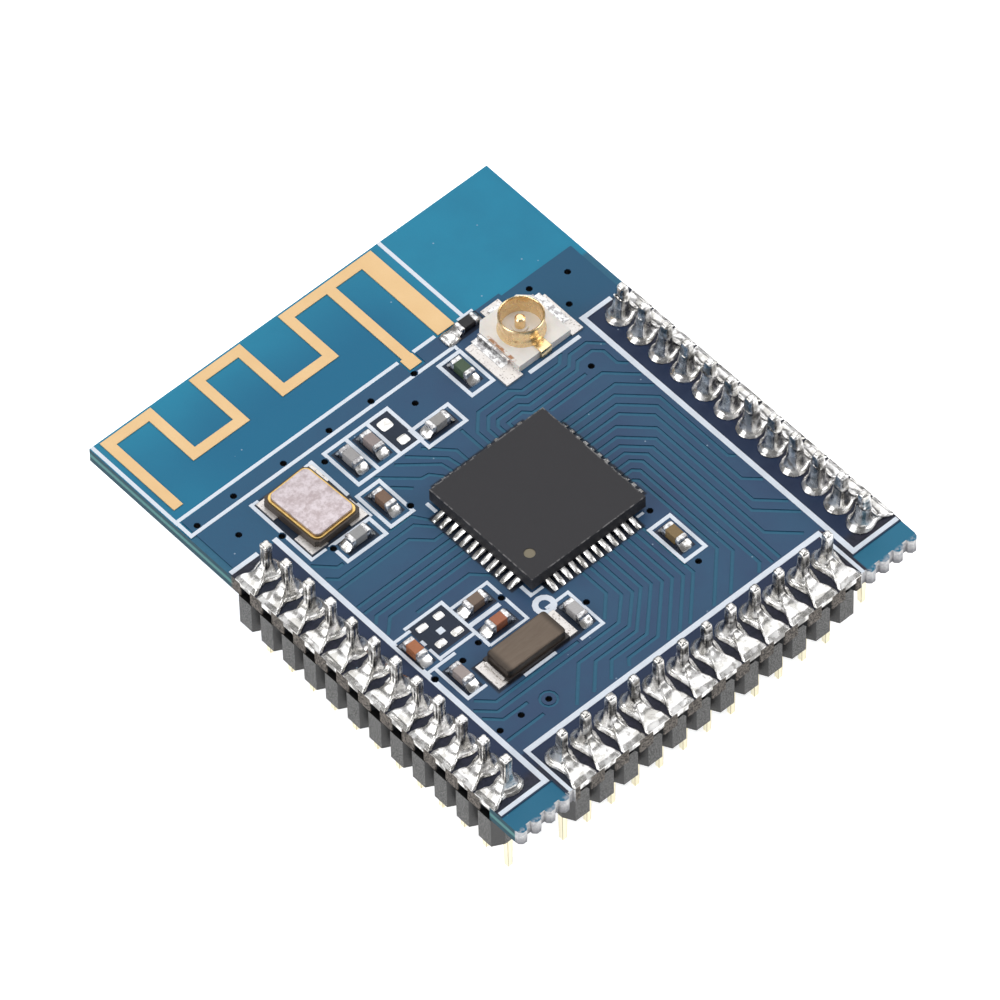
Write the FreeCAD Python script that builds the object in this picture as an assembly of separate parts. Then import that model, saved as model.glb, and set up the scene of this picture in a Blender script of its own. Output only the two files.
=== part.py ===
import FreeCAD, Part
import math
import os

# A short-range radio module on a blue circuit board: castellated edges, a printed meander antenna,
# a coaxial antenna socket, a leadless radio chip, two crystals, chip parts, and a twelve-way pin
# header soldered along each of the left, right and front edges.
#
# Millimetres. X runs to the right, Y towards the antenna edge, Z up. The origin is under the middle
# of the outline, at the height of the pin tips, on which the module stands. Places on the board are
# given as x and as the distance d from the antenna edge.

V = FreeCAD.Vector
os.makedirs("parts", exist_ok=True)

# Circuit board
BOARD_WIDTH = 21.06
BOARD_LENGTH = 25.17
BOARD_THICKNESS = 0.80
PANEL_TAB_WIDTH = 2.95
PANEL_TAB_SETBACK = 0.10
NIB_RADIUS = 0.26
NIB_REACH = 0.26
NIB_PITCH = 0.73
NIBS_PER_TAB = 4
VIA_RADIUS = 0.15
CASTELLATION_RADIUS = 0.29
HALF_HOLE_STEPS = 4

# Copper under the mask, antenna and print
COPPER_RELIEF = 0.04
GROOVE_WIDTH = 0.16
GROOVE_START = 0.55
ANTENNA_AREA = 5.20
ANTENNA_AREA_RIGHT = 5.35
POUR_INSET = 0.30
TAB_AREA = BOARD_LENGTH - 0.92
TAB_AREA_X = 7.92
ANTENNA_WIDTH = 0.47
ANTENNA_WIDE_ARM = 0.87
ANTENNA_HEIGHT = 0.045
ANTENNA_EDGE_GAP = 0.11
PRINT_HEIGHT = 0.02
PRINT_LINE = 0.16
PRINT_LINE_WIDE = 0.24

# Pin headers
PIN_PITCH = 1.27
PINS_PER_ROW = 12
PIN_SIDE = 0.40
PIN_TIP_SIDE = 0.22
PIN_TIP_LENGTH = 0.30
PIN_ABOVE_BOARD = 1.88
PIN_BELOW_HOUSING = 2.67
HOUSING_HEIGHT = 1.73
HOUSING_WIDTH = 2.36
HOUSING_FLAT = 0.73
HOUSING_NOTCH = 0.50
SIDE_ROW_INSET = 1.145
FRONT_ROW_INSET = 1.395
SIDE_ROW_FIRST_PIN = BOARD_LENGTH - 15.87

# Solder at the header pins
JOINT_HEIGHT = 0.16
JOINT_HALF_WIDTH = 0.60
JOINT_WAIST = 0.41
JOINT_INNER_HALF = 0.56
JOINT_INNER_REACH = 0.73
CONE_RADIUS = 0.46
CONE_SHOULDER = 0.34
CONE_HEIGHT = 1.00
CONE_SIDES = 6
CASTELLATION_FILL = 0.28

# Radio chip
CHIP_X = 0.535
CHIP_D = 0.56 * BOARD_LENGTH
CHIP_SIDE = 6.00
CHIP_HEIGHT = 0.85
LEAD_PITCH = 0.40
LEADS_PER_SIDE = 12
LEAD_WIDTH = 0.22
LEAD_LENGTH = 0.35
LEAD_THICKNESS = 0.20
LEAD_FILLET = 0.52
CHIP_DOT_RADIUS = 0.24
CHIP_DOT_INSET_X = 0.82
CHIP_DOT_INSET_D = 1.04
CHIP_DOT_DEPTH = 0.03

# Main crystal
CRYSTAL_X = CHIP_X - 6.635
CRYSTAL_D = CHIP_D - 5.855
CRYSTAL_TURN = 2.5
CRYSTAL_WIDTH = 2.42
CRYSTAL_LENGTH = 3.16
CRYSTAL_BASE_HEIGHT = 0.40
CRYSTAL_RING_HEIGHT = 0.08
CRYSTAL_RING_INSET = 0.16
CRYSTAL_LID_INSET = 0.15
CRYSTAL_LID_HEIGHT = 0.12
CRYSTAL_PAD_WIDTH = 0.85
CRYSTAL_PAD_LENGTH = 1.05
CRYSTAL_PAD_X = 1.03
CRYSTAL_PAD_D = 1.145
CRYSTAL_CORNER = 0.28
CRYSTAL_NOTCH = 0.16

# Clock crystal
CLOCK_X = CHIP_X - 5.015
CLOCK_D = CHIP_D + 4.895
CLOCK_LENGTH = 3.20
CLOCK_WIDTH = 1.50
CLOCK_BASE_HEIGHT = 0.20
CLOCK_LID_HEIGHT = 0.42
CLOCK_LID_INSET = 0.085
CLOCK_CORNER = 0.22
CLOCK_PAD_REACH = 0.45

# Antenna socket
SOCKET_X = 5.82
SOCKET_D = 7.23
SOCKET_BASE_WIDTH = 2.75
SOCKET_BASE_BACK = 1.30
SOCKET_BASE_FRONT = 1.47
SOCKET_BASE_HEIGHT = 0.36
SOCKET_BASE_CHAMFER = 0.40
SOCKET_RING_RADIUS = 0.96
SOCKET_RING_WALL = 0.11
SOCKET_RING_TOP = 1.25
SOCKET_FOOT_RADIUS = 1.00
SOCKET_FOOT_HEIGHT = 0.10
SOCKET_TAIL_WIDTH = 0.58
SOCKET_CONTACT_RADIUS = 0.22
SOCKET_CONTACT_TOP = 0.98
SOCKET_BOSS_RADIUS = 0.34
SOCKET_BOSS_HEIGHT = 0.10
SOCKET_TAB_REACH = 0.45
SOCKET_TAB_WIDTH = 1.80
SOCKET_SIGNAL_WIDTH = 0.60
SOCKET_SHEET = 0.12
SOCKET_PAD_LEFT = 0.85
SOCKET_PAD_RIGHT = 0.58
SOCKET_PAD_LEFT_SPAN = (-0.81, 1.70)
SOCKET_PAD_RIGHT_SPAN = (-0.71, 1.57)

# Chip parts: a ceramic block between two metal ends
PART_LENGTH = 1.00
PART_WIDTH = 0.50
CAPACITOR_HEIGHT = 0.50
RESISTOR_HEIGHT = 0.35
END_CAP_LENGTH = 0.22
BODY_STEP = 0.015
FILLET_REACH = 0.28
FILLET_RISE = 0.30
FILLET_SPREAD = 0.07
PAD_HEIGHT = 0.06
ANTENNA_JOINT_HEIGHT = 0.22
LINK_X = SOCKET_X - 1.36
LINK_D = SOCKET_D - 1.67

# Levels and rows that follow from the sizes above
OUTLINE_LENGTH = BOARD_LENGTH - PANEL_TAB_SETBACK + NIB_REACH
ANTENNA_EDGE_Y = OUTLINE_LENGTH / 2
HALF_WIDTH = BOARD_WIDTH / 2
BOARD_BOTTOM = PIN_BELOW_HOUSING + HOUSING_HEIGHT
BOARD_TOP = BOARD_BOTTOM + BOARD_THICKNESS
LAMINATE_TOP = BOARD_TOP - COPPER_RELIEF
ROW_SPAN = (PINS_PER_ROW - 1) * PIN_PITCH
SIDE_ROW_X = HALF_WIDTH - SIDE_ROW_INSET
FRONT_ROW_D = BOARD_LENGTH - FRONT_ROW_INSET
TRACK_FIELD_X = SIDE_ROW_X - 1.45
TRACK_FIELD_D = FRONT_ROW_D - 1.42

# Vias, as x and d
EDGE_VIAS = [(-9.90, 5.75), (-7.90, 5.63), (-5.40, 5.75), (-3.00, 5.75), (-0.82, 5.78), (1.35, 5.90),
             (7.55, 5.85), (9.25, 6.25), (8.20, 7.50)]
FIELD_VIAS = [(-0.135, -7.05), (-4.685, -7.30), (-9.535, -6.90), (-8.335, -5.70), (-7.255, -3.88),
              (-3.635, -3.40), (6.215, -3.70), (-4.035, 2.35), (-6.135, 3.35), (-7.155, 3.58),
              (-8.535, 3.52), (-1.735, 4.75), (2.815, 6.25), (3.085, 3.15), (-8.335, 7.05), (-7.235, 7.05),
              (-5.935, 7.20)]
VIAS = EDGE_VIAS + [(CHIP_X + x, CHIP_D + d) for x, d in FIELD_VIAS]
RINGED_VIA = VIAS[-1]
RINGED_VIA_RADIUS = 0.42

# Chip parts, as node name, x, d, the axis that they lie along, and height
CHIP_PARTS = [
    ("crystal_capacitor_front", CHIP_X - 6.255, CHIP_D - 3.55, "x", CAPACITOR_HEIGHT),
    ("crystal_capacitor_right", CHIP_X - 4.335, CHIP_D - 4.17, "y", CAPACITOR_HEIGHT),
    ("matching_part_left", CHIP_X - 3.895, CHIP_D - 6.60, "y", CAPACITOR_HEIGHT),
    ("matching_part_middle", CHIP_X - 2.805, CHIP_D - 6.60, "y", CAPACITOR_HEIGHT),
    ("matching_part_right", CHIP_X - 0.235, CHIP_D - 5.58, "x", CAPACITOR_HEIGHT),
    ("antenna_inductor", CHIP_X + 2.265, CHIP_D - 6.90, "y", CAPACITOR_HEIGHT),
    ("antenna_link_resistor", LINK_X, LINK_D, "x", RESISTOR_HEIGHT),
    ("supply_capacitor_left", CHIP_X - 8.295, CHIP_D + 2.10, "y", CAPACITOR_HEIGHT),
    ("supply_capacitor_upper", CHIP_X - 5.035, CHIP_D + 1.95, "x", CAPACITOR_HEIGHT),
    ("supply_capacitor_lower", CHIP_X - 5.015, CHIP_D + 3.26, "x", CAPACITOR_HEIGHT),
    ("clock_capacitor_left", CHIP_X - 7.755, CHIP_D + 4.20, "y", CAPACITOR_HEIGHT),
    ("clock_capacitor_right", CHIP_X - 2.465, CHIP_D + 4.92, "y", CAPACITOR_HEIGHT),
    ("core_capacitor", CHIP_X + 2.885, CHIP_D + 4.80, "y", CAPACITOR_HEIGHT),
]

# Tinned pads with no part, as x, d, width and length
EMPTY_PADS = [
    (CHIP_X - 1.735, CHIP_D - 7.05, 0.60, 0.55), (CHIP_X - 1.675, CHIP_D - 6.02, 0.50, 0.45),
    (CHIP_X - 7.285, CHIP_D + 1.35, 0.55, 0.32), (CHIP_X - 6.415, CHIP_D + 1.35, 0.45, 0.35),
    (CHIP_X - 7.235, CHIP_D + 2.40, 0.50, 0.35), (CHIP_X - 6.385, CHIP_D + 2.40, 0.55, 0.35),
]


def place(x, d, z=0.0):
    """A point given by x, the distance from the antenna edge and the height."""
    return V(x, ANTENNA_EDGE_Y - d, z)


def block(x, d, width, length, bottom, height):
    """A block centred at x and d, of that width along X and length along Y."""
    corner = place(x - width / 2, d + length / 2, bottom)
    return Part.makeBox(width, length, height, corner)


def ring_of(point, radius, count, height, turn=0.0):
    """Corners of a regular polygon round a point, at that height."""
    steps = [turn + 2 * math.pi * i / count for i in range(count)]
    return [V(point.x + radius * math.cos(a), point.y + radius * math.sin(a), height) for a in steps]


def stacked(rings):
    """A closed solid through rings of corners, from the lowest to the highest."""
    faces = [Part.Face(Part.makePolygon(ring + ring[:1])) for ring in (rings[0], rings[-1])]
    for low, high in zip(rings, rings[1:]):
        for i in range(len(low)):
            j = (i + 1) % len(low)
            quad = [low[i], low[j], high[j], high[i]]
            normal = (low[j] - low[i]).cross(high[i] - low[i])
            flat = abs(normal.dot(high[j] - low[i])) < 1e-9
            pieces = [quad] if flat else [quad[:3], [quad[0], quad[2], quad[3]]]
            faces += [Part.Face(Part.makePolygon(p + p[:1])) for p in pieces]
    solid = Part.makeSolid(Part.makeShell(faces))
    if solid.Volume < 0:
        solid.reverse()
    return solid


def post(x, d, radius, bottom, height, count=8):
    """An upright prism that stands in for a small round hole or peg."""
    point = place(x, d)
    return stacked([ring_of(point, radius, count, z, math.pi / count) for z in (bottom, bottom + height)])


def flat_prism(points, bottom, height):
    """A prism over a flat outline given as vectors."""
    area = sum(a.x * b.y - b.x * a.y for a, b in zip(points, points[1:] + points[:1]))
    ordered = points if area > 0 else points[::-1]
    corners = [V(p.x, p.y, bottom) for p in ordered]
    return Part.Face(Part.makePolygon(corners + corners[:1])).extrude(V(0, 0, height))


def rounded_ring(x, d, width, length, radius, height, steps=3):
    """Corners of a rectangle whose four corners are rounded."""
    corners = []
    for quarter, (sx, sy) in enumerate(((1, 1), (-1, 1), (-1, -1), (1, -1))):
        centre = place(x, d) + V(sx * (width / 2 - radius), sy * (length / 2 - radius), 0)
        for i in range(steps + 1):
            angle = (quarter + i / steps) * math.pi / 2
            corners.append(V(centre.x + radius * math.cos(angle), centre.y + radius * math.sin(angle), height))
    return corners


def band(route, width, bottom, height):
    """A flat strip of even width along a route of x and d pairs, mitred at its bends."""
    points = [place(x, d) for x, d in route]
    left = []
    right = []
    for i, point in enumerate(points):
        before = (point - points[i - 1]).normalize() if i > 0 else None
        after = (points[i + 1] - point).normalize() if i < len(points) - 1 else None
        heading = (before or after) + (after or before)
        heading.normalize()
        side = V(-heading.y, heading.x, 0)
        reach = width / 2 / max(side.dot(V(-(after or before).y, (after or before).x, 0)), 0.5)
        left.append(point + side * reach)
        right.append(point - side * reach)
    return flat_prism(left + right[::-1], bottom, height)


def line(x0, d0, x1, d1, width, level=BOARD_TOP):
    """A printed straight line from one point to another, with square ends."""
    return band([(x0, d0), (x1, d1)], width, level, PRINT_HEIGHT)


def frame(x0, d0, x1, d1, width=PRINT_LINE):
    """A printed rectangle given by the middle of its lines."""
    across = x1 - x0
    along = d1 - d0
    middle = ((x0 + x1) / 2, (d0 + d1) / 2)
    outer = block(*middle, across + width, along + width, BOARD_TOP, PRINT_HEIGHT)
    inner = block(*middle, across - width, along - width, BOARD_TOP, PRINT_HEIGHT)
    return outer.cut(inner)


def save(name, solids):
    """One STEP file for the node, holding one solid or a group of separate ones."""
    shape = Part.makeCompound(solids) if len(solids) > 1 else solids[0]
    shape.exportStep("parts/" + name + ".step")


class PinRow:
    """One header row: u runs along the pins, v points out over the board's edge."""

    def __init__(self, name, first, u, v, inset):
        self.name = name
        self.first = first
        self.u = u
        self.v = v
        self.inset = inset

    def pin(self, index):
        return self.first + self.u * (index * PIN_PITCH)

    def spot(self, index, along, out):
        """A point near one pin, given along the row and out from it."""
        return self.pin(index) + self.u * along + self.v * out


ROWS = [
    PinRow("left", place(-SIDE_ROW_X, SIDE_ROW_FIRST_PIN), V(0, -1, 0), V(-1, 0, 0), SIDE_ROW_INSET),
    PinRow("right", place(SIDE_ROW_X, SIDE_ROW_FIRST_PIN), V(0, -1, 0), V(1, 0, 0), SIDE_ROW_INSET),
    PinRow("front", place(-ROW_SPAN / 2, FRONT_ROW_D), V(1, 0, 0), V(0, -1, 0), FRONT_ROW_INSET),
]


def square(point, side, height):
    """Corners of a square round a point, at that height."""
    half = side / 2
    return [V(point.x + sx * half, point.y + sy * half, height) for sx, sy in ((-1, -1), (1, -1), (1, 1), (-1, 1))]


def make_pin(point):
    """A square pin with a tapered tip, standing through housing, board and solder."""
    top = BOARD_TOP + PIN_ABOVE_BOARD
    return stacked([square(point, PIN_TIP_SIDE, 0), square(point, PIN_SIDE, PIN_TIP_LENGTH),
                    square(point, PIN_SIDE, top)])


def pin_hole(point, bottom, height):
    return stacked([square(point, PIN_SIDE, bottom), square(point, PIN_SIDE, bottom + height)])


def make_housing(row):
    """A moulded strip with a V notch between positions and a square hole for each pin."""
    half = HOUSING_WIDTH / 2
    waist = half - HOUSING_NOTCH
    near = [row.spot(0, -PIN_PITCH / 2, waist)]
    far = [row.spot(0, -PIN_PITCH / 2, -waist)]
    for i in range(PINS_PER_ROW):
        for along, out in ((-HOUSING_FLAT / 2, half), (HOUSING_FLAT / 2, half), (PIN_PITCH / 2, waist)):
            near.append(row.spot(i, along, out))
            far.append(row.spot(i, along, -out))
    strip = flat_prism(near + far[::-1], PIN_BELOW_HOUSING, HOUSING_HEIGHT)
    holes = [pin_hole(row.pin(i), PIN_BELOW_HOUSING, HOUSING_HEIGHT) for i in range(PINS_PER_ROW)]
    return strip.cut(holes)


def half_hole(row, index, reach):
    """Outline of a half hole in the board's edge, as points near one pin."""
    edge = row.inset
    turns = [math.pi * (0.5 + i / HALF_HOLE_STEPS) for i in range(HALF_HOLE_STEPS + 1)]
    arc = [(CASTELLATION_RADIUS * math.sin(a), edge + CASTELLATION_RADIUS * math.cos(a)) for a in turns]
    points = [(CASTELLATION_RADIUS, edge + reach)] + arc + [(-CASTELLATION_RADIUS, edge + reach)]
    return [row.spot(index, along, out) for along, out in points]


def make_joint(row, index):
    """One soldered pin: a waisted sheet over the pad, a cone up the pin and the filled half hole."""
    edge = row.inset
    outline = [(edge, 0.95 * JOINT_HALF_WIDTH), (0.85 * edge, JOINT_HALF_WIDTH),
               (0.42 * edge, JOINT_WAIST), (-0.25 * JOINT_INNER_REACH, JOINT_INNER_HALF),
               (-JOINT_INNER_REACH, 0.35 * JOINT_INNER_HALF)]
    one_side = [row.spot(index, half, out) for out, half in outline]
    other_side = [row.spot(index, -half, out) for out, half in outline]
    sheet = flat_prism(one_side + other_side[::-1], BOARD_TOP, JOINT_HEIGHT)
    centre = row.pin(index)
    neck = PIN_SIDE / math.sqrt(2) + 0.01
    stages = [(CONE_RADIUS, 0.5 * JOINT_HEIGHT), (CONE_SHOULDER, 0.42 * CONE_HEIGHT), (neck, CONE_HEIGHT)]
    cone = stacked([ring_of(centre, r, CONE_SIDES, BOARD_TOP + z, math.pi / 4) for r, z in stages])
    fill = flat_prism(half_hole(row, index, 0.0)[1:-1], BOARD_TOP - CASTELLATION_FILL, CASTELLATION_FILL)
    return sheet.fuse([cone, fill]).cut(pin_hole(centre, BOARD_TOP, PIN_ABOVE_BOARD)).removeSplitter()


def board_tab(side):
    """The nibs along one broken-off panel tab, left at -1 and right at 1."""
    nibs = []
    for i in range(NIBS_PER_TAB):
        x = side * (HALF_WIDTH - NIB_RADIUS - i * NIB_PITCH)
        centre_d = BOARD_LENGTH - PANEL_TAB_SETBACK + NIB_REACH - NIB_RADIUS
        nibs.append(post(x, centre_d, NIB_RADIUS, BOARD_BOTTOM, BOARD_THICKNESS))
    return nibs


def make_board():
    """The laminate: outline with set-back corner tabs, nibs, half holes, pin holes and vias."""
    front = BOARD_LENGTH
    tab = BOARD_LENGTH - PANEL_TAB_SETBACK
    inner = HALF_WIDTH - PANEL_TAB_WIDTH
    outline = [place(-HALF_WIDTH, 0), place(HALF_WIDTH, 0), place(HALF_WIDTH, tab), place(inner, tab),
               place(inner, front), place(-inner, front), place(-inner, tab), place(-HALF_WIDTH, tab)]
    board = flat_prism(outline, BOARD_BOTTOM, BOARD_THICKNESS)
    board = board.fuse(board_tab(-1) + board_tab(1)).removeSplitter()
    cutters = [post(x, d, VIA_RADIUS, BOARD_BOTTOM, BOARD_THICKNESS) for x, d in VIAS]
    for row in ROWS:
        for i in range(PINS_PER_ROW):
            cutters.append(pin_hole(row.pin(i), BOARD_BOTTOM, BOARD_THICKNESS))
            cutters.append(flat_prism(half_hole(row, i, 0.1), BOARD_BOTTOM, BOARD_THICKNESS))
    return board.cut(cutters).cut(make_bare_areas()).removeSplitter()


def make_bare_areas():
    """What is cut from the top where no copper lies: antenna area, tab areas, rims and grooves."""
    cut = COPPER_RELIEF
    middle = 6.50
    bare = [block(0, ANTENNA_AREA / 2, BOARD_WIDTH, ANTENNA_AREA, LAMINATE_TOP, cut),
            block((middle + HALF_WIDTH) / 2, ANTENNA_AREA_RIGHT / 2, HALF_WIDTH - middle,
                  ANTENNA_AREA_RIGHT, LAMINATE_TOP, cut),
            block(1.66, ANTENNA_AREA + 0.30, 0.82, 0.62, LAMINATE_TOP, cut)]
    rim_end = SIDE_ROW_FIRST_PIN - 1.0
    for side in (-1, 1):
        rim_x = side * (HALF_WIDTH - POUR_INSET / 2)
        bare.append(block(rim_x, rim_end / 2, POUR_INSET, rim_end, LAMINATE_TOP, cut))
        tab_x = side * (HALF_WIDTH + TAB_AREA_X) / 2
        tab_length = BOARD_LENGTH + 1 - TAB_AREA
        bare.append(block(tab_x, TAB_AREA + tab_length / 2, HALF_WIDTH - TAB_AREA_X, tab_length,
                          LAMINATE_TOP, cut))
    ring = post(*RINGED_VIA, RINGED_VIA_RADIUS, LAMINATE_TOP, cut, 12)
    bare.append(ring.cut(post(*RINGED_VIA, RINGED_VIA_RADIUS - 0.12, LAMINATE_TOP, cut, 12)))
    grooves = [band(route, GROOVE_WIDTH, LAMINATE_TOP, cut) for route in groove_routes()]
    return bare + grooves


def make_antenna():
    """The meander, its feed arm with a wider end, and the wide arm that runs to the link."""
    half = ANTENNA_WIDTH / 2
    top = ANTENNA_EDGE_GAP + half
    low = 3.01
    turns = [-9.84, -7.665, -5.185, -2.985, -0.49]
    wide_x = 3.765
    route = [(turns[0], 4.57), (turns[0], top), (turns[1], top), (turns[1], low), (turns[2], low),
             (turns[2], top), (turns[3], top), (turns[3], low), (turns[4], low), (turns[4], top),
             (wide_x + ANTENNA_WIDE_ARM / 2, top)]
    feed_x = 1.695
    feed_end = 5.68
    meander = band(route, ANTENNA_WIDTH, LAMINATE_TOP, ANTENNA_HEIGHT)
    feed = band([(feed_x, top), (feed_x, feed_end)], ANTENNA_WIDTH, LAMINATE_TOP, ANTENNA_HEIGHT)
    feed_pad = block(feed_x - 0.035, feed_end - 0.30, 0.62, 0.60, LAMINATE_TOP, ANTENNA_HEIGHT)
    wide = band([(wide_x, ANTENNA_EDGE_GAP), (wide_x, LINK_D - 0.44)], ANTENNA_WIDE_ARM, LAMINATE_TOP, ANTENNA_HEIGHT)
    return meander.fuse([feed, feed_pad, wide]).removeSplitter()


def lead_offset(index):
    """Distance of a chip lead from the middle of its side."""
    return (index - (LEADS_PER_SIDE - 1) / 2) * LEAD_PITCH


def groove_routes():
    """Centre lines of the gaps between copper tracks, measured from the chip's middle while they
    are listed."""
    below = CHIP_SIDE / 2 + GROOVE_START
    above = -below
    left = -below
    right = CHIP_SIDE / 2 + 0.12
    side = [lead_offset(i) - 0.10 for i in range(LEADS_PER_SIDE)]
    fan = [lead_offset(i) - LEAD_PITCH / 2 for i in range(LEADS_PER_SIDE)]
    foot = [lead_offset(i) + 0.11 for i in range(LEADS_PER_SIDE)]
    far_left = -TRACK_FIELD_X - CHIP_X
    far_right = TRACK_FIELD_X - CHIP_X
    far_d = TRACK_FIELD_D - CHIP_D

    routes = [
        [(-5.085, -3.02), (-3.985, -3.02), (left, side[0] - 0.05)],
        [(far_left, -2.98), (-8.085, -2.60), (-4.185, -2.60), (left, side[1])],
        [(far_left, -2.20), (-4.785, -2.20), (-4.085, side[2]), (left, side[2])],
        [(far_left, side[3]), (left, side[3])],
        [(far_left, side[4]), (left, side[4])],
        [(far_left, 0.00), (-8.185, side[5]), (left, side[5])],
        [(far_left, 0.70), (-7.835, side[6]), (left, side[6])],
        [(-6.935, 0.65), (-4.185, 0.65), (left, side[9])],
    ]

    elbows = [5.915, 5.665, 5.415, 4.915, 4.565, 4.365, 4.265, 4.165, 3.915, 3.615]
    lane_gap = 0.378
    lane = far_right - 0.23
    routes.append([(right, fan[0]), (6.315, fan[0]), (far_right, fan[0] + far_right - 6.315)])
    exits = {0: [(far_right, 3.45)], 1: [(far_right, 5.02)], 2: [(far_right, 6.48)], 3: [(far_right, 7.20)],
             4: [(6.765, 8.05)], 7: [(4.165, far_d)], 8: [(2.665, far_d)], 9: [(1.785, far_d)]}
    for k, elbow in enumerate(elbows):
        x = lane - k * lane_gap
        d = fan[k + 1]
        tail = exits.get(k, [])
        last = tail[0][1] - abs(tail[0][0] - x) if tail else far_d
        routes.append([(right, d), (elbow, d), (x, d + x - elbow), (x, last)] + tail)

    bends = {3: (4.95, [(-1.785, 5.85)]),
             4: (5.40, [(-1.465, 6.32), (-7.785, 6.32), (far_left, 5.65)]),
             5: (5.60, [(-1.285, 6.72), (-3.935, 6.72), (-5.335, far_d - 0.10)]),
             6: (5.65, [(-1.235, 7.10), (-3.385, 7.10), (-4.435, far_d - 0.10)]),
             7: (5.80, [(-1.035, 7.47), (-2.885, 7.47), (-3.535, far_d - 0.10)]),
             8: (6.00, [(-0.805, 7.85), (-2.335, 7.85), (-2.585, far_d - 0.10)]),
             9: (6.15, [(-0.635, far_d)]), 10: (6.35, [(-0.035, far_d)]), 11: (6.50, [(0.515, far_d)])}
    for i, (turn, tail) in bends.items():
        routes.append([(foot[i], below), (foot[i], turn)] + tail)

    routes += [
        [(foot[1], above), (-2.085, -4.05), (-2.435, -4.10), (-3.785, -5.38)],
        [(foot[2], above), (-1.395, -4.10), (-2.785, -5.32)],
        [(foot[3], above), (-0.995, -4.15), (-2.215, -5.35)],
        [(foot[4], above), (foot[4], -4.20), (-1.465, -5.23)],
        [(foot[6], above), (foot[6], -4.85)],
        [(foot[7], above), (foot[7], -4.32), (1.395, -5.03), (2.985, -5.03), (3.385, -4.65), (5.365, -4.65),
         (5.765, -5.02)],
        [(foot[8], above), (foot[8], -4.12), (1.545, -4.60), (3.015, -4.60), (3.315, -4.30), (5.565, -4.30),
         (5.965, -4.70), (6.865, -4.70), (far_right, -4.15)],
        [(foot[9], above), (foot[9], -4.00), (1.715, -4.22), (2.815, -4.22), (3.115, -3.93), (5.665, -3.93),
         (5.985, -4.25), (6.765, -4.25), (7.085, -3.93), (7.085, -3.15), (far_right, -2.82)],
        [(foot[10], above), (foot[10], -3.83), (2.665, -3.85), (2.965, -3.55), (5.815, -3.55)],
        [(right + 0.40, -3.15), (6.315, -3.15), (far_right, -2.05)],
        [(-3.635, -4.60), (-2.985, -3.95)],
        [(-8.135, 5.30), (-7.515, 5.92), (-3.235, 5.94)],
        [(far_left, 6.15), (-7.885, 6.75), (-6.635, 6.77)],
        [(far_left, 7.60), (-6.535, 7.60)],
        [(far_left, -3.85), (-7.735, -3.08), (-7.435, -3.08)],
    ]
    return [[(CHIP_X + x, CHIP_D + d) for x, d in route] for route in routes]


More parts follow.
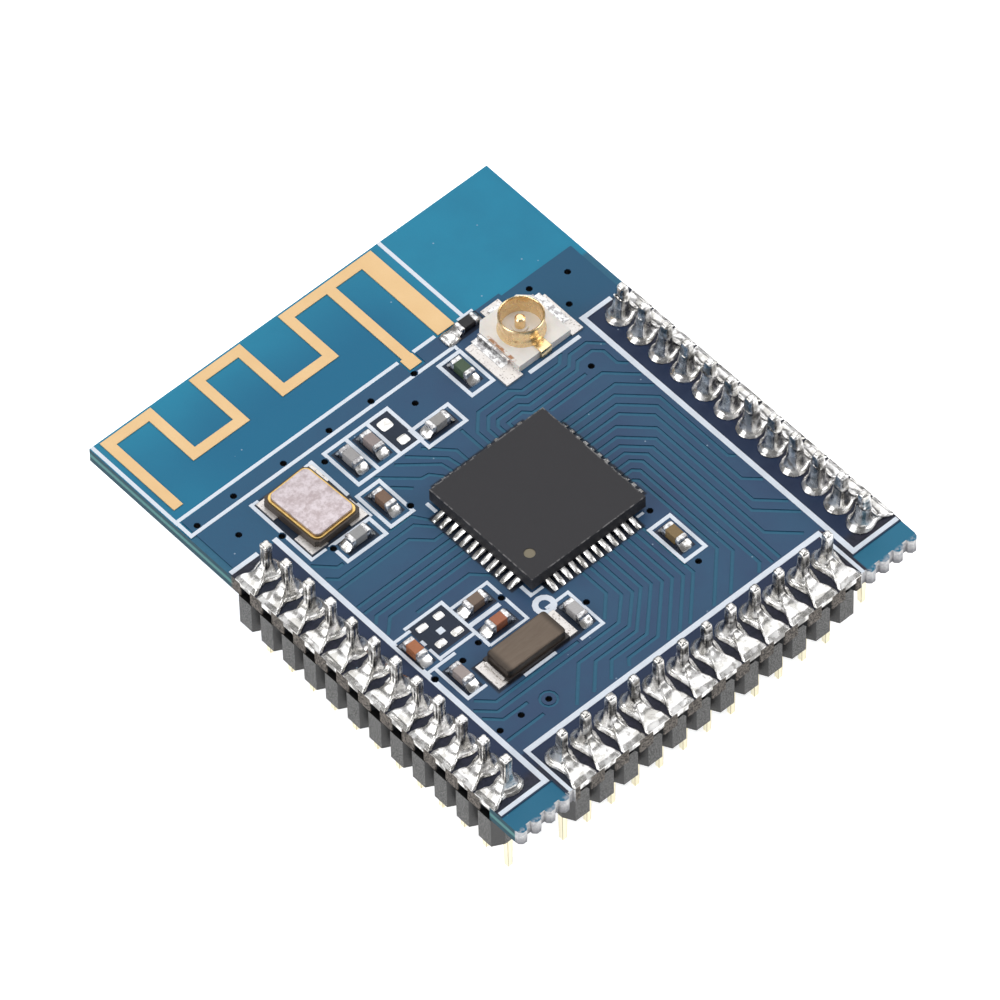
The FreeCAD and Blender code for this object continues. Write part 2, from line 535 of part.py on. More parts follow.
def make_print():
    """The white print: antenna outline, a frame round each part, row boxes and chip corners."""
    row_line = SIDE_ROW_X - 1.27
    row_back = SIDE_ROW_FIRST_PIN - 0.90
    row_front = SIDE_ROW_FIRST_PIN + ROW_SPAN + 0.82
    edge = HALF_WIDTH - 0.05
    front_line = FRONT_ROW_D - 1.21
    front_half = ROW_SPAN / 2 + 0.72
    chip_half = CHIP_SIDE / 2 + 0.03
    lines = [
        line(-10.41, 0.0, -10.41, ANTENNA_AREA, PRINT_LINE, LAMINATE_TOP),
        line(-10.41, ANTENNA_AREA, -10.41, 6.08, PRINT_LINE),
        line(-10.33, 5.07, 1.25, 5.07, PRINT_LINE, LAMINATE_TOP),
        line(2.05, 5.07, 3.20, 5.07, PRINT_LINE, LAMINATE_TOP),
        line(-10.33, 6.00, 3.42, 6.00, PRINT_LINE),
        line(4.70, 0.0, 4.70, 5.08, 0.17, LAMINATE_TOP),
        line(3.42, 5.92, 3.42, 6.22, 0.14),
        line(-row_line, row_back - 0.11, -row_line, row_front + 0.11, PRINT_LINE_WIDE),
        line(-edge, row_back, -row_line - 0.95, row_back, 0.20),
        line(-edge, row_front, -row_line, row_front, 0.20),
        line(row_line, row_back - 0.11, row_line, row_front + 0.11, PRINT_LINE_WIDE),
        line(row_line, row_back, edge - 0.85, row_back, 0.20),
        line(row_line, row_front, edge, row_front, 0.20),
        line(-front_half - 0.08, front_line, front_half + 0.08, front_line, PRINT_LINE_WIDE),
        line(-front_half, front_line, -front_half, BOARD_LENGTH - 0.06, PRINT_LINE),
        line(front_half, front_line, front_half, BOARD_LENGTH - 0.06, PRINT_LINE),
        line(4.40, 5.08, 5.20, 5.08, 0.12, LAMINATE_TOP),
        line(SOCKET_X - 1.10, SOCKET_D + 1.76, SOCKET_X + 1.60, SOCKET_D + 1.76, 0.18),
        line(CHIP_X - chip_half - 0.08, 11.05, CHIP_X - chip_half - 0.08, 11.62, PRINT_LINE),
        line(CHIP_X - chip_half - 0.08, 16.56, CHIP_X - chip_half - 0.08, 17.22, PRINT_LINE),
        line(CHIP_X - chip_half - 0.08, 17.14, -1.95, 17.14, PRINT_LINE),
    ]
    round_chip = [
        line(-8.235, -7.70, -8.235, -3.98, PRINT_LINE),
        line(-8.155, -7.62, -7.885, -7.62, 0.12),
        line(-5.105, -7.70, -5.105, -5.44, PRINT_LINE),
        line(-5.485, -7.62, -5.185, -7.62, 0.12),
        line(-8.155, -4.04, -7.485, -4.04, 0.12),
        line(-5.105, -4.90, -5.105, -4.04, 0.10),
        line(2.485, 3.04, 2.825, 3.04, 0.14),
        line(-5.885, 5.75, -4.235, 5.75, 0.14),
        line(-8.755, 1.15, -7.715, 1.15, 0.14),
        line(-7.865, 0.95, -5.835, 0.95, 0.14),
        line(-5.905, 0.88, -5.905, 3.80, 0.15),
        line(-7.735, 1.80, -7.735, 2.08, 0.14),
        line(-7.755, 2.32, -7.755, 3.02, 0.13),
        line(-8.755, 3.12, -7.135, 3.12, 0.14),
        line(-7.755, 2.92, -5.905, 2.92, 0.14),
        line(-5.905, 1.43, -3.955, 1.43, 0.14),
        line(-3.955, 1.36, -3.955, 3.80, 0.14),
        line(-5.905, 2.54, -4.285, 2.54, 0.20),
        line(-5.905, 3.78, -3.885, 3.78, 0.12),
        line(-8.215, 3.12, -8.215, 5.15, 0.15),
        line(-8.215, 5.08, -7.255, 5.08, 0.14),
        line(-3.115, 3.92, -1.885, 3.92, 0.14),
        line(-1.955, 3.92, -1.955, 5.98, 0.14),
        line(-3.115, 5.95, -1.885, 5.95, 0.14),
        frame(-7.255, -4.02, -5.255, -3.02),
        frame(-4.895, -5.14, -3.735, -3.14),
        frame(-4.455, -7.60, -1.135, -5.54),
        frame(-1.195, -6.13, 0.765, -5.04),
        frame(1.765, -7.78, 2.885, -5.80),
        frame(2.405, 3.85, 3.505, 5.90),
        line(-3.355, -7.60, -3.355, -5.54, PRINT_LINE),
        line(-2.235, -7.60, -2.235, -5.54, PRINT_LINE),
    ]
    ring = post(-3.035, 3.76, 0.50, BOARD_TOP, PRINT_HEIGHT, 14)
    ring = ring.cut(post(-3.035, 3.76, 0.25, BOARD_TOP, PRINT_HEIGHT, 12))
    round_chip = [shape.translated(V(CHIP_X, -CHIP_D, 0)) for shape in round_chip + [ring]]
    mark = block(CHIP_X - 6.835, CHIP_D + 1.94, 0.30, 0.28, BOARD_TOP, PRINT_HEIGHT)
    sheet = lines[0].fuse(lines[1:] + round_chip)
    low = BOARD_TOP
    tall = PRINT_HEIGHT
    keep_out = [post(x, d, VIA_RADIUS + 0.04, low, tall) for x, d in VIAS]
    keep_out += [block(CLOCK_X, CLOCK_D, CLOCK_LENGTH + 2 * CLOCK_PAD_REACH, CLOCK_WIDTH, low, tall),
                 block(SOCKET_X + (SOCKET_PAD_RIGHT - SOCKET_PAD_LEFT) / 2, SOCKET_D - 0.10,
                       SOCKET_BASE_WIDTH + SOCKET_PAD_LEFT + SOCKET_PAD_RIGHT, 3.40, low, tall),
                 turned(block(CRYSTAL_X, CRYSTAL_D, CRYSTAL_WIDTH, CRYSTAL_LENGTH, low, tall)),
                 block(CHIP_X, CHIP_D, CHIP_SIDE, CHIP_SIDE, low, tall),
                 joint_outline(low, tall)] + crystal_pads(low, tall)
    for _, x, d, axis, _ in CHIP_PARTS:
        along = PART_LENGTH + 2 * FILLET_REACH
        across = PART_WIDTH + 2 * FILLET_SPREAD
        size = (along, across) if axis == "x" else (across, along)
        keep_out.append(block(x, d, *size, BOARD_TOP, PRINT_HEIGHT))
    printed = sheet.cut(keep_out).removeSplitter()
    return printed.Solids + [mark]


def joint_outline(bottom, height):
    """Outline of the solder lump that joins the antenna's wide arm to the link resistor."""
    points = [(-1.26, -0.24), (-1.06, -0.34), (-0.61, -0.34), (-0.53, -0.16), (-0.53, 0.24), (-0.74, 0.42),
              (-1.10, 0.42)]
    return flat_prism([place(LINK_X + x, LINK_D + d) for x, d in points], bottom, height)


def turned(solid):
    """The solid turned about the main crystal's middle, as the crystal sits a little askew."""
    return solid.copy().rotated(place(CRYSTAL_X, CRYSTAL_D), V(0, 0, 1), CRYSTAL_TURN)


def crystal_pads(bottom, height):
    """The four tinned pads of the main crystal, reaching out past its corners."""
    pads = []
    for sx in (-1, 1):
        for sd in (-1, 1):
            x = CRYSTAL_X + sx * CRYSTAL_PAD_X
            d = CRYSTAL_D + sd * CRYSTAL_PAD_D
            pads.append(block(x, d, CRYSTAL_PAD_WIDTH, CRYSTAL_PAD_LENGTH, bottom, height))
    return pads


def chip_lead_spots():
    """Each lead's place on the rim of the chip and its outward direction."""
    centre = place(CHIP_X, CHIP_D)
    spots = []
    for out in (V(-1, 0, 0), V(0, -1, 0), V(1, 0, 0), V(0, 1, 0)):
        along = V(-out.y, out.x, 0)
        for i in range(LEADS_PER_SIDE):
            spots.append((centre + out * (CHIP_SIDE / 2) + along * lead_offset(i), out, along))
    return spots


def make_chip():
    """The moulded body with its lead ends let into its lower rim, and a fillet at each lead."""
    leads = []
    fillets = []
    for rim, out, along in chip_lead_spots():
        half = LEAD_WIDTH / 2
        inner = rim - out * LEAD_LENGTH
        foot = [inner - along * half, inner + along * half, rim + along * half, rim - along * half]
        leads.append(flat_prism(foot, BOARD_TOP, LEAD_THICKNESS))
        side = rim - along * half
        profile = [V(0, 0, 0), out * LEAD_FILLET, out * (0.40 * LEAD_FILLET) + V(0, 0, 0.09),
                   V(0, 0, LEAD_THICKNESS)]
        corners = [side + p + V(0, 0, BOARD_TOP) for p in profile]
        face = Part.Face(Part.makePolygon(corners + corners[:1]))
        fillets.append(face.extrude(along * LEAD_WIDTH))
    top = BOARD_TOP + CHIP_HEIGHT
    core_side = CHIP_SIDE - 2 * LEAD_LENGTH
    body = block(CHIP_X, CHIP_D, CHIP_SIDE, CHIP_SIDE, BOARD_TOP + LEAD_THICKNESS,
                 CHIP_HEIGHT - LEAD_THICKNESS)
    body = body.fuse(block(CHIP_X, CHIP_D, core_side, core_side, BOARD_TOP, CHIP_HEIGHT)).removeSplitter()
    dot_x = CHIP_X - CHIP_SIDE / 2 + CHIP_DOT_INSET_X
    dot_d = CHIP_D + CHIP_SIDE / 2 - CHIP_DOT_INSET_D
    body = body.cut(post(dot_x, dot_d, CHIP_DOT_RADIUS, top - CHIP_DOT_DEPTH, CHIP_DOT_DEPTH, 16))
    save("chip_body", [body])
    save("chip_leads", leads)
    save("chip_solder", fillets)


def make_crystal():
    """Ceramic tray with notched corners, gold seal ring, and a lid with a sloping rim."""
    spot = (CRYSTAL_X, CRYSTAL_D)
    base = block(*spot, CRYSTAL_WIDTH, CRYSTAL_LENGTH, BOARD_TOP, CRYSTAL_BASE_HEIGHT)
    notches = [post(CRYSTAL_X + sx * CRYSTAL_WIDTH / 2, CRYSTAL_D + sd * CRYSTAL_LENGTH / 2,
                    CRYSTAL_NOTCH, BOARD_TOP, CRYSTAL_BASE_HEIGHT)
               for sx in (-1, 1) for sd in (-1, 1)]
    save("crystal_base", [turned(base.cut(notches))])
    ring_size = (CRYSTAL_WIDTH - 2 * CRYSTAL_RING_INSET, CRYSTAL_LENGTH - 2 * CRYSTAL_RING_INSET)
    lid_size = (ring_size[0] - 2 * CRYSTAL_LID_INSET, ring_size[1] - 2 * CRYSTAL_LID_INSET)
    ring_bottom = BOARD_TOP + CRYSTAL_BASE_HEIGHT
    ring_top = ring_bottom + CRYSTAL_RING_HEIGHT
    outer = [rounded_ring(*spot, *ring_size, CRYSTAL_CORNER, z) for z in (ring_bottom, ring_top)]
    well_size = (lid_size[0] - 0.2, lid_size[1] - 0.2)
    well = [rounded_ring(*spot, *well_size, 0.10, z, 1) for z in (ring_bottom, ring_top)]
    save("crystal_seal_ring", [turned(stacked(outer).cut(stacked(well)))])
    lid_corner = CRYSTAL_CORNER - 0.5 * CRYSTAL_LID_INSET
    rim = 0.05
    lid = [rounded_ring(*spot, *lid_size, lid_corner, ring_top),
           rounded_ring(*spot, *lid_size, lid_corner, ring_top + 0.6 * CRYSTAL_LID_HEIGHT),
           rounded_ring(*spot, lid_size[0] - 2 * rim, lid_size[1] - 2 * rim, lid_corner - rim,
                        ring_top + CRYSTAL_LID_HEIGHT)]
    save("crystal_lid", [turned(stacked(lid))])
    under = turned(block(*spot, CRYSTAL_WIDTH, CRYSTAL_LENGTH, BOARD_TOP, PAD_HEIGHT).cut(notches))
    pads = crystal_pads(BOARD_TOP, PAD_HEIGHT)
    save("crystal_solder", [solid for pad in pads for solid in pad.cut(under).Solids])


def make_clock_crystal():
    """A long ceramic base under a drawn metal lid, with solder at its two ends."""
    spot = (CLOCK_X, CLOCK_D)
    base = block(*spot, CLOCK_LENGTH, CLOCK_WIDTH, BOARD_TOP, CLOCK_BASE_HEIGHT)
    save("clock_crystal_base", [base])
    lid_bottom = BOARD_TOP + CLOCK_BASE_HEIGHT
    lid_size = (CLOCK_LENGTH - 2 * CLOCK_LID_INSET, CLOCK_WIDTH - 2 * CLOCK_LID_INSET)
    lid = []
    for inset, rise in ((0.0, 0.0), (0.0, 0.70), (0.04, 0.88), (0.13, 1.0)):
        size = (lid_size[0] - 2 * inset, lid_size[1] - 2 * inset)
        lid.append(rounded_ring(*spot, *size, CLOCK_CORNER - inset, lid_bottom + rise * CLOCK_LID_HEIGHT))
    save("clock_crystal_lid", [stacked(lid)])
    solder = []
    for side in (-1, 1):
        end = CLOCK_X + side * CLOCK_LENGTH / 2
        x = end + side * CLOCK_PAD_REACH / 2
        slab = block(x, CLOCK_D, CLOCK_PAD_REACH, CLOCK_WIDTH - 0.1, BOARD_TOP, 1.5 * PAD_HEIGHT)
        rise = block(end + side * 0.06, CLOCK_D, 0.12, CLOCK_WIDTH - 0.4, BOARD_TOP, CLOCK_BASE_HEIGHT)
        solder.append(slab.fuse(rise).removeSplitter())
    save("clock_crystal_solder", solder)


def make_socket():
    """White base, gold ring on a flared foot with a tail, centre contact, tabs and their solder."""
    half = SOCKET_BASE_WIDTH / 2
    back = SOCKET_D - SOCKET_BASE_BACK
    front = SOCKET_D + SOCKET_BASE_FRONT
    top = BOARD_TOP + SOCKET_BASE_HEIGHT
    cut = SOCKET_BASE_CHAMFER
    outline = [place(SOCKET_X - half, front), place(SOCKET_X + half, front),
               place(SOCKET_X + half, back + cut), place(SOCKET_X + half - cut, back),
               place(SOCKET_X - half + cut, back), place(SOCKET_X - half, back + cut)]
    base = flat_prism(outline, BOARD_TOP, SOCKET_BASE_HEIGHT)
    boss = post(SOCKET_X, SOCKET_D, SOCKET_BOSS_RADIUS, top, SOCKET_BOSS_HEIGHT, 12)
    centre = place(SOCKET_X, SOCKET_D)
    tip = BOARD_TOP + SOCKET_CONTACT_TOP
    stages = [(SOCKET_CONTACT_RADIUS, top - SOCKET_SHEET), (SOCKET_CONTACT_RADIUS, tip - 0.06),
              (0.65 * SOCKET_CONTACT_RADIUS, tip)]
    contact = stacked([ring_of(centre, radius, 12, z) for radius, z in stages])
    save("socket_base", [base.fuse(boss).removeSplitter().cut(contact)])
    save("socket_contact", [contact])

    outer = SOCKET_RING_RADIUS
    inner = SOCKET_RING_RADIUS - SOCKET_RING_WALL
    ring_top = BOARD_TOP + SOCKET_RING_TOP
    foot = top + SOCKET_FOOT_HEIGHT
    lip = 0.12
    profile = [V(inner, 0, top), V(SOCKET_FOOT_RADIUS, 0, top), V(outer, 0, foot),
               V(outer, 0, ring_top - lip / 2), V(outer - 0.04, 0, ring_top), V(inner, 0, ring_top)]
    face = Part.Face(Part.makePolygon(profile + profile[:1]))
    shell = face.revolve(V(0, 0, 0), V(0, 0, 1), 360)
    shell.translate(place(SOCKET_X, SOCKET_D))
    tail_length = SOCKET_BASE_FRONT - inner + SOCKET_SHEET
    tail_d = SOCKET_D + inner + tail_length / 2
    tail = block(SOCKET_X, tail_d, SOCKET_TAIL_WIDTH, tail_length, top, SOCKET_FOOT_HEIGHT)
    leg = block(SOCKET_X, front + SOCKET_SHEET / 2, SOCKET_TAIL_WIDTH, SOCKET_SHEET, BOARD_TOP,
                SOCKET_BASE_HEIGHT)
    bore = Part.makeCylinder(inner, SOCKET_RING_TOP, centre + V(0, 0, top))
    save("socket_shell", [shell.fuse([tail, leg]).cut(bore).removeSplitter()])

    tabs = []
    solder = []
    for side, reach, span in ((-1, SOCKET_PAD_LEFT, SOCKET_PAD_LEFT_SPAN), (1, SOCKET_PAD_RIGHT, SOCKET_PAD_RIGHT_SPAN)):
        wall_x = SOCKET_X + side * (half + SOCKET_SHEET / 2)
        wall = block(wall_x, SOCKET_D, SOCKET_SHEET, SOCKET_TAB_WIDTH, BOARD_TOP, 0.85 * SOCKET_BASE_HEIGHT)
        foot_x = SOCKET_X + side * (half + SOCKET_TAB_REACH / 2)
        flat = block(foot_x, SOCKET_D, SOCKET_TAB_REACH, SOCKET_TAB_WIDTH, BOARD_TOP, SOCKET_SHEET)
        tab = wall.fuse(flat).removeSplitter()
        tabs.append(tab)
        pad_x = SOCKET_X + side * (half + reach / 2)
        pad_d = SOCKET_D + sum(span) / 2
        pad = block(pad_x, pad_d, reach, span[1] - span[0], BOARD_TOP, 0.10)
        solder.append(pad.cut(tab).Solids)
    save("socket_ground_tabs", tabs)
    signal_d = back - 0.15
    signal = block(SOCKET_X, signal_d, SOCKET_SIGNAL_WIDTH, 0.30, BOARD_TOP, SOCKET_SHEET)
    save("socket_signal_tab", [signal])
    signal_pad = block(SOCKET_X - 0.04, signal_d - 0.10, 0.96, 0.50, BOARD_TOP, 0.08)
    solder.append(signal_pad.cut(signal).Solids)
    save("socket_solder", [solid for group in solder for solid in group])


def make_chip_part(x, d, axis, height):
    """A chip part's block, its two metal ends and the solder fillet outside each end."""
    ends = []
    fillets = []
    centre = place(x, d, BOARD_TOP)
    along = V(1, 0, 0) if axis == "x" else V(0, -1, 0)
    across = V(0, 1, 0) if axis == "x" else V(1, 0, 0)
    core = PART_LENGTH - 2 * END_CAP_LENGTH
    size = (core, PART_WIDTH - 2 * BODY_STEP) if axis == "x" else (PART_WIDTH - 2 * BODY_STEP, core)
    body = block(x, d, *size, BOARD_TOP + BODY_STEP, height - 2 * BODY_STEP)
    for side in (-1, 1):
        out = along * side
        middle = centre + out * (PART_LENGTH - END_CAP_LENGTH) * 0.5
        shape = (END_CAP_LENGTH, PART_WIDTH) if axis == "x" else (PART_WIDTH, END_CAP_LENGTH)
        ends.append(block(middle.x, ANTENNA_EDGE_Y - middle.y, *shape, BOARD_TOP, height))
        half = PART_WIDTH / 2
        rise = min(FILLET_RISE, 0.8 * height)
        start = centre + out * (PART_LENGTH / 2)
        foot = start + out * FILLET_REACH
        wide = half + FILLET_SPREAD
        low = [start - across * half, foot - across * wide, foot + across * wide, start + across * half]
        lip = start + out * 0.06
        high = [start - across * half, lip - across * half, lip + across * half, start + across * half]
        fillets.append(stacked([low, [p + V(0, 0, rise) for p in high]]))
    return body, ends, fillets


for row in ROWS:
    save(row.name + "_header_housing", [make_housing(row)])
    save(row.name + "_header_pins", [make_pin(row.pin(i)) for i in range(PINS_PER_ROW)])
    save(row.name + "_pin_solder", [make_joint(row, i) for i in range(PINS_PER_ROW)])

save("circuit_board", [make_board()])
save("antenna_trace", [make_antenna()])
save("silkscreen", make_print())
save("empty_pads", [block(x, d, width, length, BOARD_TOP, PAD_HEIGHT) for x, d, width, length in EMPTY_PADS])
make_chip()
make_crystal()
make_clock_crystal()
make_socket()

all_ends = []
all_fillets = []
for name, x, d, axis, height in CHIP_PARTS:
    part_body, part_ends, part_fillets = make_chip_part(x, d, axis, height)
    save(name, [part_body])
    all_ends += part_ends
    all_fillets += part_fillets
save("end_caps", all_ends)
save("end_cap_solder", all_fillets)
save("antenna_solder_joint", [joint_outline(BOARD_TOP, ANTENNA_JOINT_HEIGHT).cut(all_fillets)])
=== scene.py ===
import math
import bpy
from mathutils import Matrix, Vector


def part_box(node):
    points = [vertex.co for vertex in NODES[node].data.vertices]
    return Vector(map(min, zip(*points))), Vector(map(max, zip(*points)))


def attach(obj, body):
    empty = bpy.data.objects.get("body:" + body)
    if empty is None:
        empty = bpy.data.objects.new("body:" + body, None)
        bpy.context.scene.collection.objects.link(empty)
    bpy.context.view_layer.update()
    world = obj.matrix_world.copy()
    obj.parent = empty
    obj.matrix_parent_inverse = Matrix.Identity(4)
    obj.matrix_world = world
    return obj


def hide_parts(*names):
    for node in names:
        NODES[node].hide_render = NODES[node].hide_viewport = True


bl_info = {
    "name": "Radio module dressing",
    "version": (1, 0, 0),
    "blender": (4, 5, 0),
    "location": "3D View > Sidebar > Module",
    "description": "Solder, metal, ceramic and board finishes for a small radio module",
    "category": "Object",
}

from functools import partial

import bmesh
import bpy
from mathutils import Matrix, Vector, noise

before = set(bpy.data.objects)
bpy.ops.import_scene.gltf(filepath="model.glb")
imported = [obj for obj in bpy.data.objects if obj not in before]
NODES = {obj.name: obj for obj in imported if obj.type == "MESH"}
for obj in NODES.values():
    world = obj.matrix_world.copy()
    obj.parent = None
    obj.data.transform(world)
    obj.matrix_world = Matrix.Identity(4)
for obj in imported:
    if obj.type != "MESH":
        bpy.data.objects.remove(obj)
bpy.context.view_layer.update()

# Places are given by x, by the distance d from the antenna edge, and by the height over the board
MM = 0.001
BOARD_LOW, BOARD_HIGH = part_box("circuit_board")
EDGE_Y = BOARD_HIGH.y
TOP = BOARD_HIGH.z


def centre_of(node):
    """The x and d of a node's middle, in mm."""
    low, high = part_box(node)
    return (low.x + high.x) / 2 / MM, (EDGE_Y - (low.y + high.y) / 2) / MM


def half_sizes(node):
    """Half a node's size along x and along d, in mm."""
    low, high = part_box(node)
    return (high.x - low.x) / 2 / MM, (high.y - low.y) / 2 / MM


HALF_WIDTH = BOARD_HIGH.x / MM
LENGTH = (EDGE_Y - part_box("front_pin_solder")[0].y) / MM
THICKNESS = (TOP - BOARD_LOW.z) / MM
RELIEF = 0.04
CHIP_X, CHIP_D = centre_of("chip_body")
CHIP_HALF = half_sizes("chip_body")[0]
CRYSTAL_TURN = math.radians(2.5)
ROWS = ("left", "right", "front")
PINS = 12
PITCH = 1.27
PIN_SIDE = 0.4
PIN_TOP = 1.88
LEADS_PER_SIDE = 12
LEAD_PITCH = 0.4
LEAD_ROW_HALF = (LEADS_PER_SIDE - 1) / 2 * LEAD_PITCH

# The body colour of each chip part, and the side on which it has the more solder
CHIP_PARTS = {
    "crystal_capacitor_front": ((150, 150, 150), "left"),
    "crystal_capacitor_right": ((118, 92, 74), "front"),
    "matching_part_left": ((158, 156, 156), "front"),
    "matching_part_middle": ((146, 134, 132), "front"),
    "matching_part_right": ((150, 148, 146), "left"),
    "antenna_inductor": ((64, 84, 62), "front"),
    "antenna_link_resistor": ((26, 26, 30), "left"),
    "supply_capacitor_left": ((168, 104, 66), "front"),
    "supply_capacitor_upper": ((116, 98, 84), "left"),
    "supply_capacitor_lower": ((160, 96, 66), "left"),
    "clock_capacitor_left": ((160, 148, 144), "front"),
    "clock_capacitor_right": ((176, 174, 174), "front"),
    "core_capacitor": ((126, 104, 66), "front"),
}


def spot(x, d, z=0.0):
    """A point from x, the distance from the antenna edge and the height over the board, in mm."""
    return Vector((x * MM, EDGE_Y - d * MM, TOP + z * MM))


def tone(red, green, blue):
    """A linear colour from the three numbers of a screen colour."""
    parts = [c / 255 for c in (red, green, blue)]
    linear = [c / 12.92 if c <= 0.04045 else ((c + 0.055) / 1.055) ** 2.4 for c in parts]
    return (*linear, 1.0)


class Wire:
    """A socket of a shader; sums and products of it add Math nodes."""

    def __init__(self, shader, socket):
        self.shader = shader
        self.socket = socket

    def maths(self, operation, *others):
        return self.shader.node("ShaderNodeMath", {"operation": operation}, [self, *others])

    def __add__(self, other):
        return self.maths("ADD", other)

    def __sub__(self, other):
        return self.maths("SUBTRACT", other)

    def __mul__(self, other):
        return self.maths("MULTIPLY", other)

    def __rsub__(self, other):
        return self.shader.node("ShaderNodeMath", {"operation": "SUBTRACT"}, [other, self])

    __radd__ = __add__
    __rmul__ = __mul__

    def __abs__(self):
        return self.maths("ABSOLUTE")

    def least(self, other):
        return self.maths("MINIMUM", other)

    def most(self, other):
        return self.maths("MAXIMUM", other)

    def rise(self, low, high):
        """0 below the first value, 1 above the second, smooth between them."""
        settings = {"interpolation_type": "SMOOTHSTEP"}
        return self.shader.node("ShaderNodeMapRange", settings, {0: self, 1: low, 2: high, 3: 0.0, 4: 1.0})

    def past(self, line, soft):
        """0 before a line and 1 past it, over that much on each side of it."""
        return self.rise(line - soft, line + soft)

    def span(self, low, high, soft=0.02):
        """1 between two values and 0 outside them."""
        return self.past(low, soft) * (1 - self.past(high, soft))


class Shader:
    """The nodes of a material or of the world."""

    def __init__(self, tree):
        self.tree = tree

    def node(self, kind, settings=None, inputs=None, output=0):
        """One node: its settings first, then the values or links of its sockets."""
        made = self.tree.nodes.new(kind)
        for key, value in (settings or {}).items():
            if key == "stops":
                for element, (position, colour) in zip(made.color_ramp.elements, value):
                    element.position = position
                    element.color = colour
            else:
                setattr(made, key, value)
        pairs = inputs.items() if isinstance(inputs, dict) else enumerate(inputs or [])
        for key, value in pairs:
            self.feed(made.inputs[key], value)
        return Wire(self, made.outputs[output])

    def feed(self, socket, value):
        if isinstance(value, Wire):
            self.tree.links.new(value.socket, socket)
        else:
            socket.default_value = value

    def parts(self, vector):
        """The three numbers of a vector."""
        split = self.node("ShaderNodeSeparateXYZ", {}, [vector])
        return [Wire(self, output) for output in split.socket.node.outputs]


class Finish(Shader):
    """A material on the Principled shader, with x, d and h as its places in mm."""

    def __init__(self, name, **values):
        self.material = bpy.data.materials.new(name)
        self.material.use_nodes = True
        super().__init__(self.material.node_tree)
        self.surface = self.tree.nodes["Principled BSDF"]
        for key, value in values.items():
            self.surface.inputs[key.replace("_", " ")].default_value = value
        where = self.node("ShaderNodeTexCoord", output="Object")
        self.point = self.node("ShaderNodeVectorMath", {"operation": "SCALE"}, {0: where, 3: 1 / MM})
        self.x, y, z = self.parts(self.point)
        self.d = EDGE_Y / MM - y
        self.h = z - TOP / MM

    def noise(self, size, detail=2.0, rough=0.5, stretch=None):
        """Noise from 0 to 1 whose features are about that many millimetres across."""
        where = self.point
        if stretch:
            inputs = {"Vector": where, "Scale": stretch}
            where = self.node("ShaderNodeMapping", {"vector_type": "POINT"}, inputs)
        inputs = {"Vector": where, "Scale": 1.0 / size, "Detail": detail, "Roughness": rough}
        return self.node("ShaderNodeTexNoise", {}, inputs)

    def cells(self, size):
        """The distance from the nearest of many points that lie about that many millimetres apart."""
        return self.node("ShaderNodeTexVoronoi", {}, {"Vector": self.point, "Scale": 1.0 / size}, "Distance")

    def mix(self, factor, first, second):
        """A colour between two colours."""
        return self.node("ShaderNodeMix", {"data_type": "RGBA"}, {0: factor, 6: first, 7: second}, 2)

    def facing(self, axis=2, kind="True Normal"):
        """One part of the surface's direction: by default the upward one, 1 on a level top."""
        return self.parts(self.node("ShaderNodeNewGeometry", output=kind))[axis]

    def outside(self, x, d, half_x, half_d):
        """How far out of a flat box a point lies: under 1 inside it, 1 on its outline."""
        return (abs(self.x - x) * (1 / half_x)).most(abs(self.d - d) * (1 / half_d))

    def round_spot(self, x, d):
        """The square of the distance from an upright line, in square millimetres."""
        away_x = self.x - x
        away_d = self.d - d
        return away_x * away_x + away_d * away_d

    def colour(self, value):
        self.feed(self.surface.inputs["Base Color"], value)

    def rough(self, value):
        self.feed(self.surface.inputs["Roughness"], value)

    def bump(self, height, depth):
        """Surface relief of that many millimetres."""
        relief = self.node("ShaderNodeBump", {}, {"Strength": 1.0, "Distance": depth * MM, "Height": height})
        self.feed(self.surface.inputs["Normal"], relief)


FINISHES = {}


def finish(name):
    """A material made once by the function that is registered under that name."""
    if name not in FINISHES:
        FINISHES[name] = MAKERS[name]().material
    return FINISHES[name]


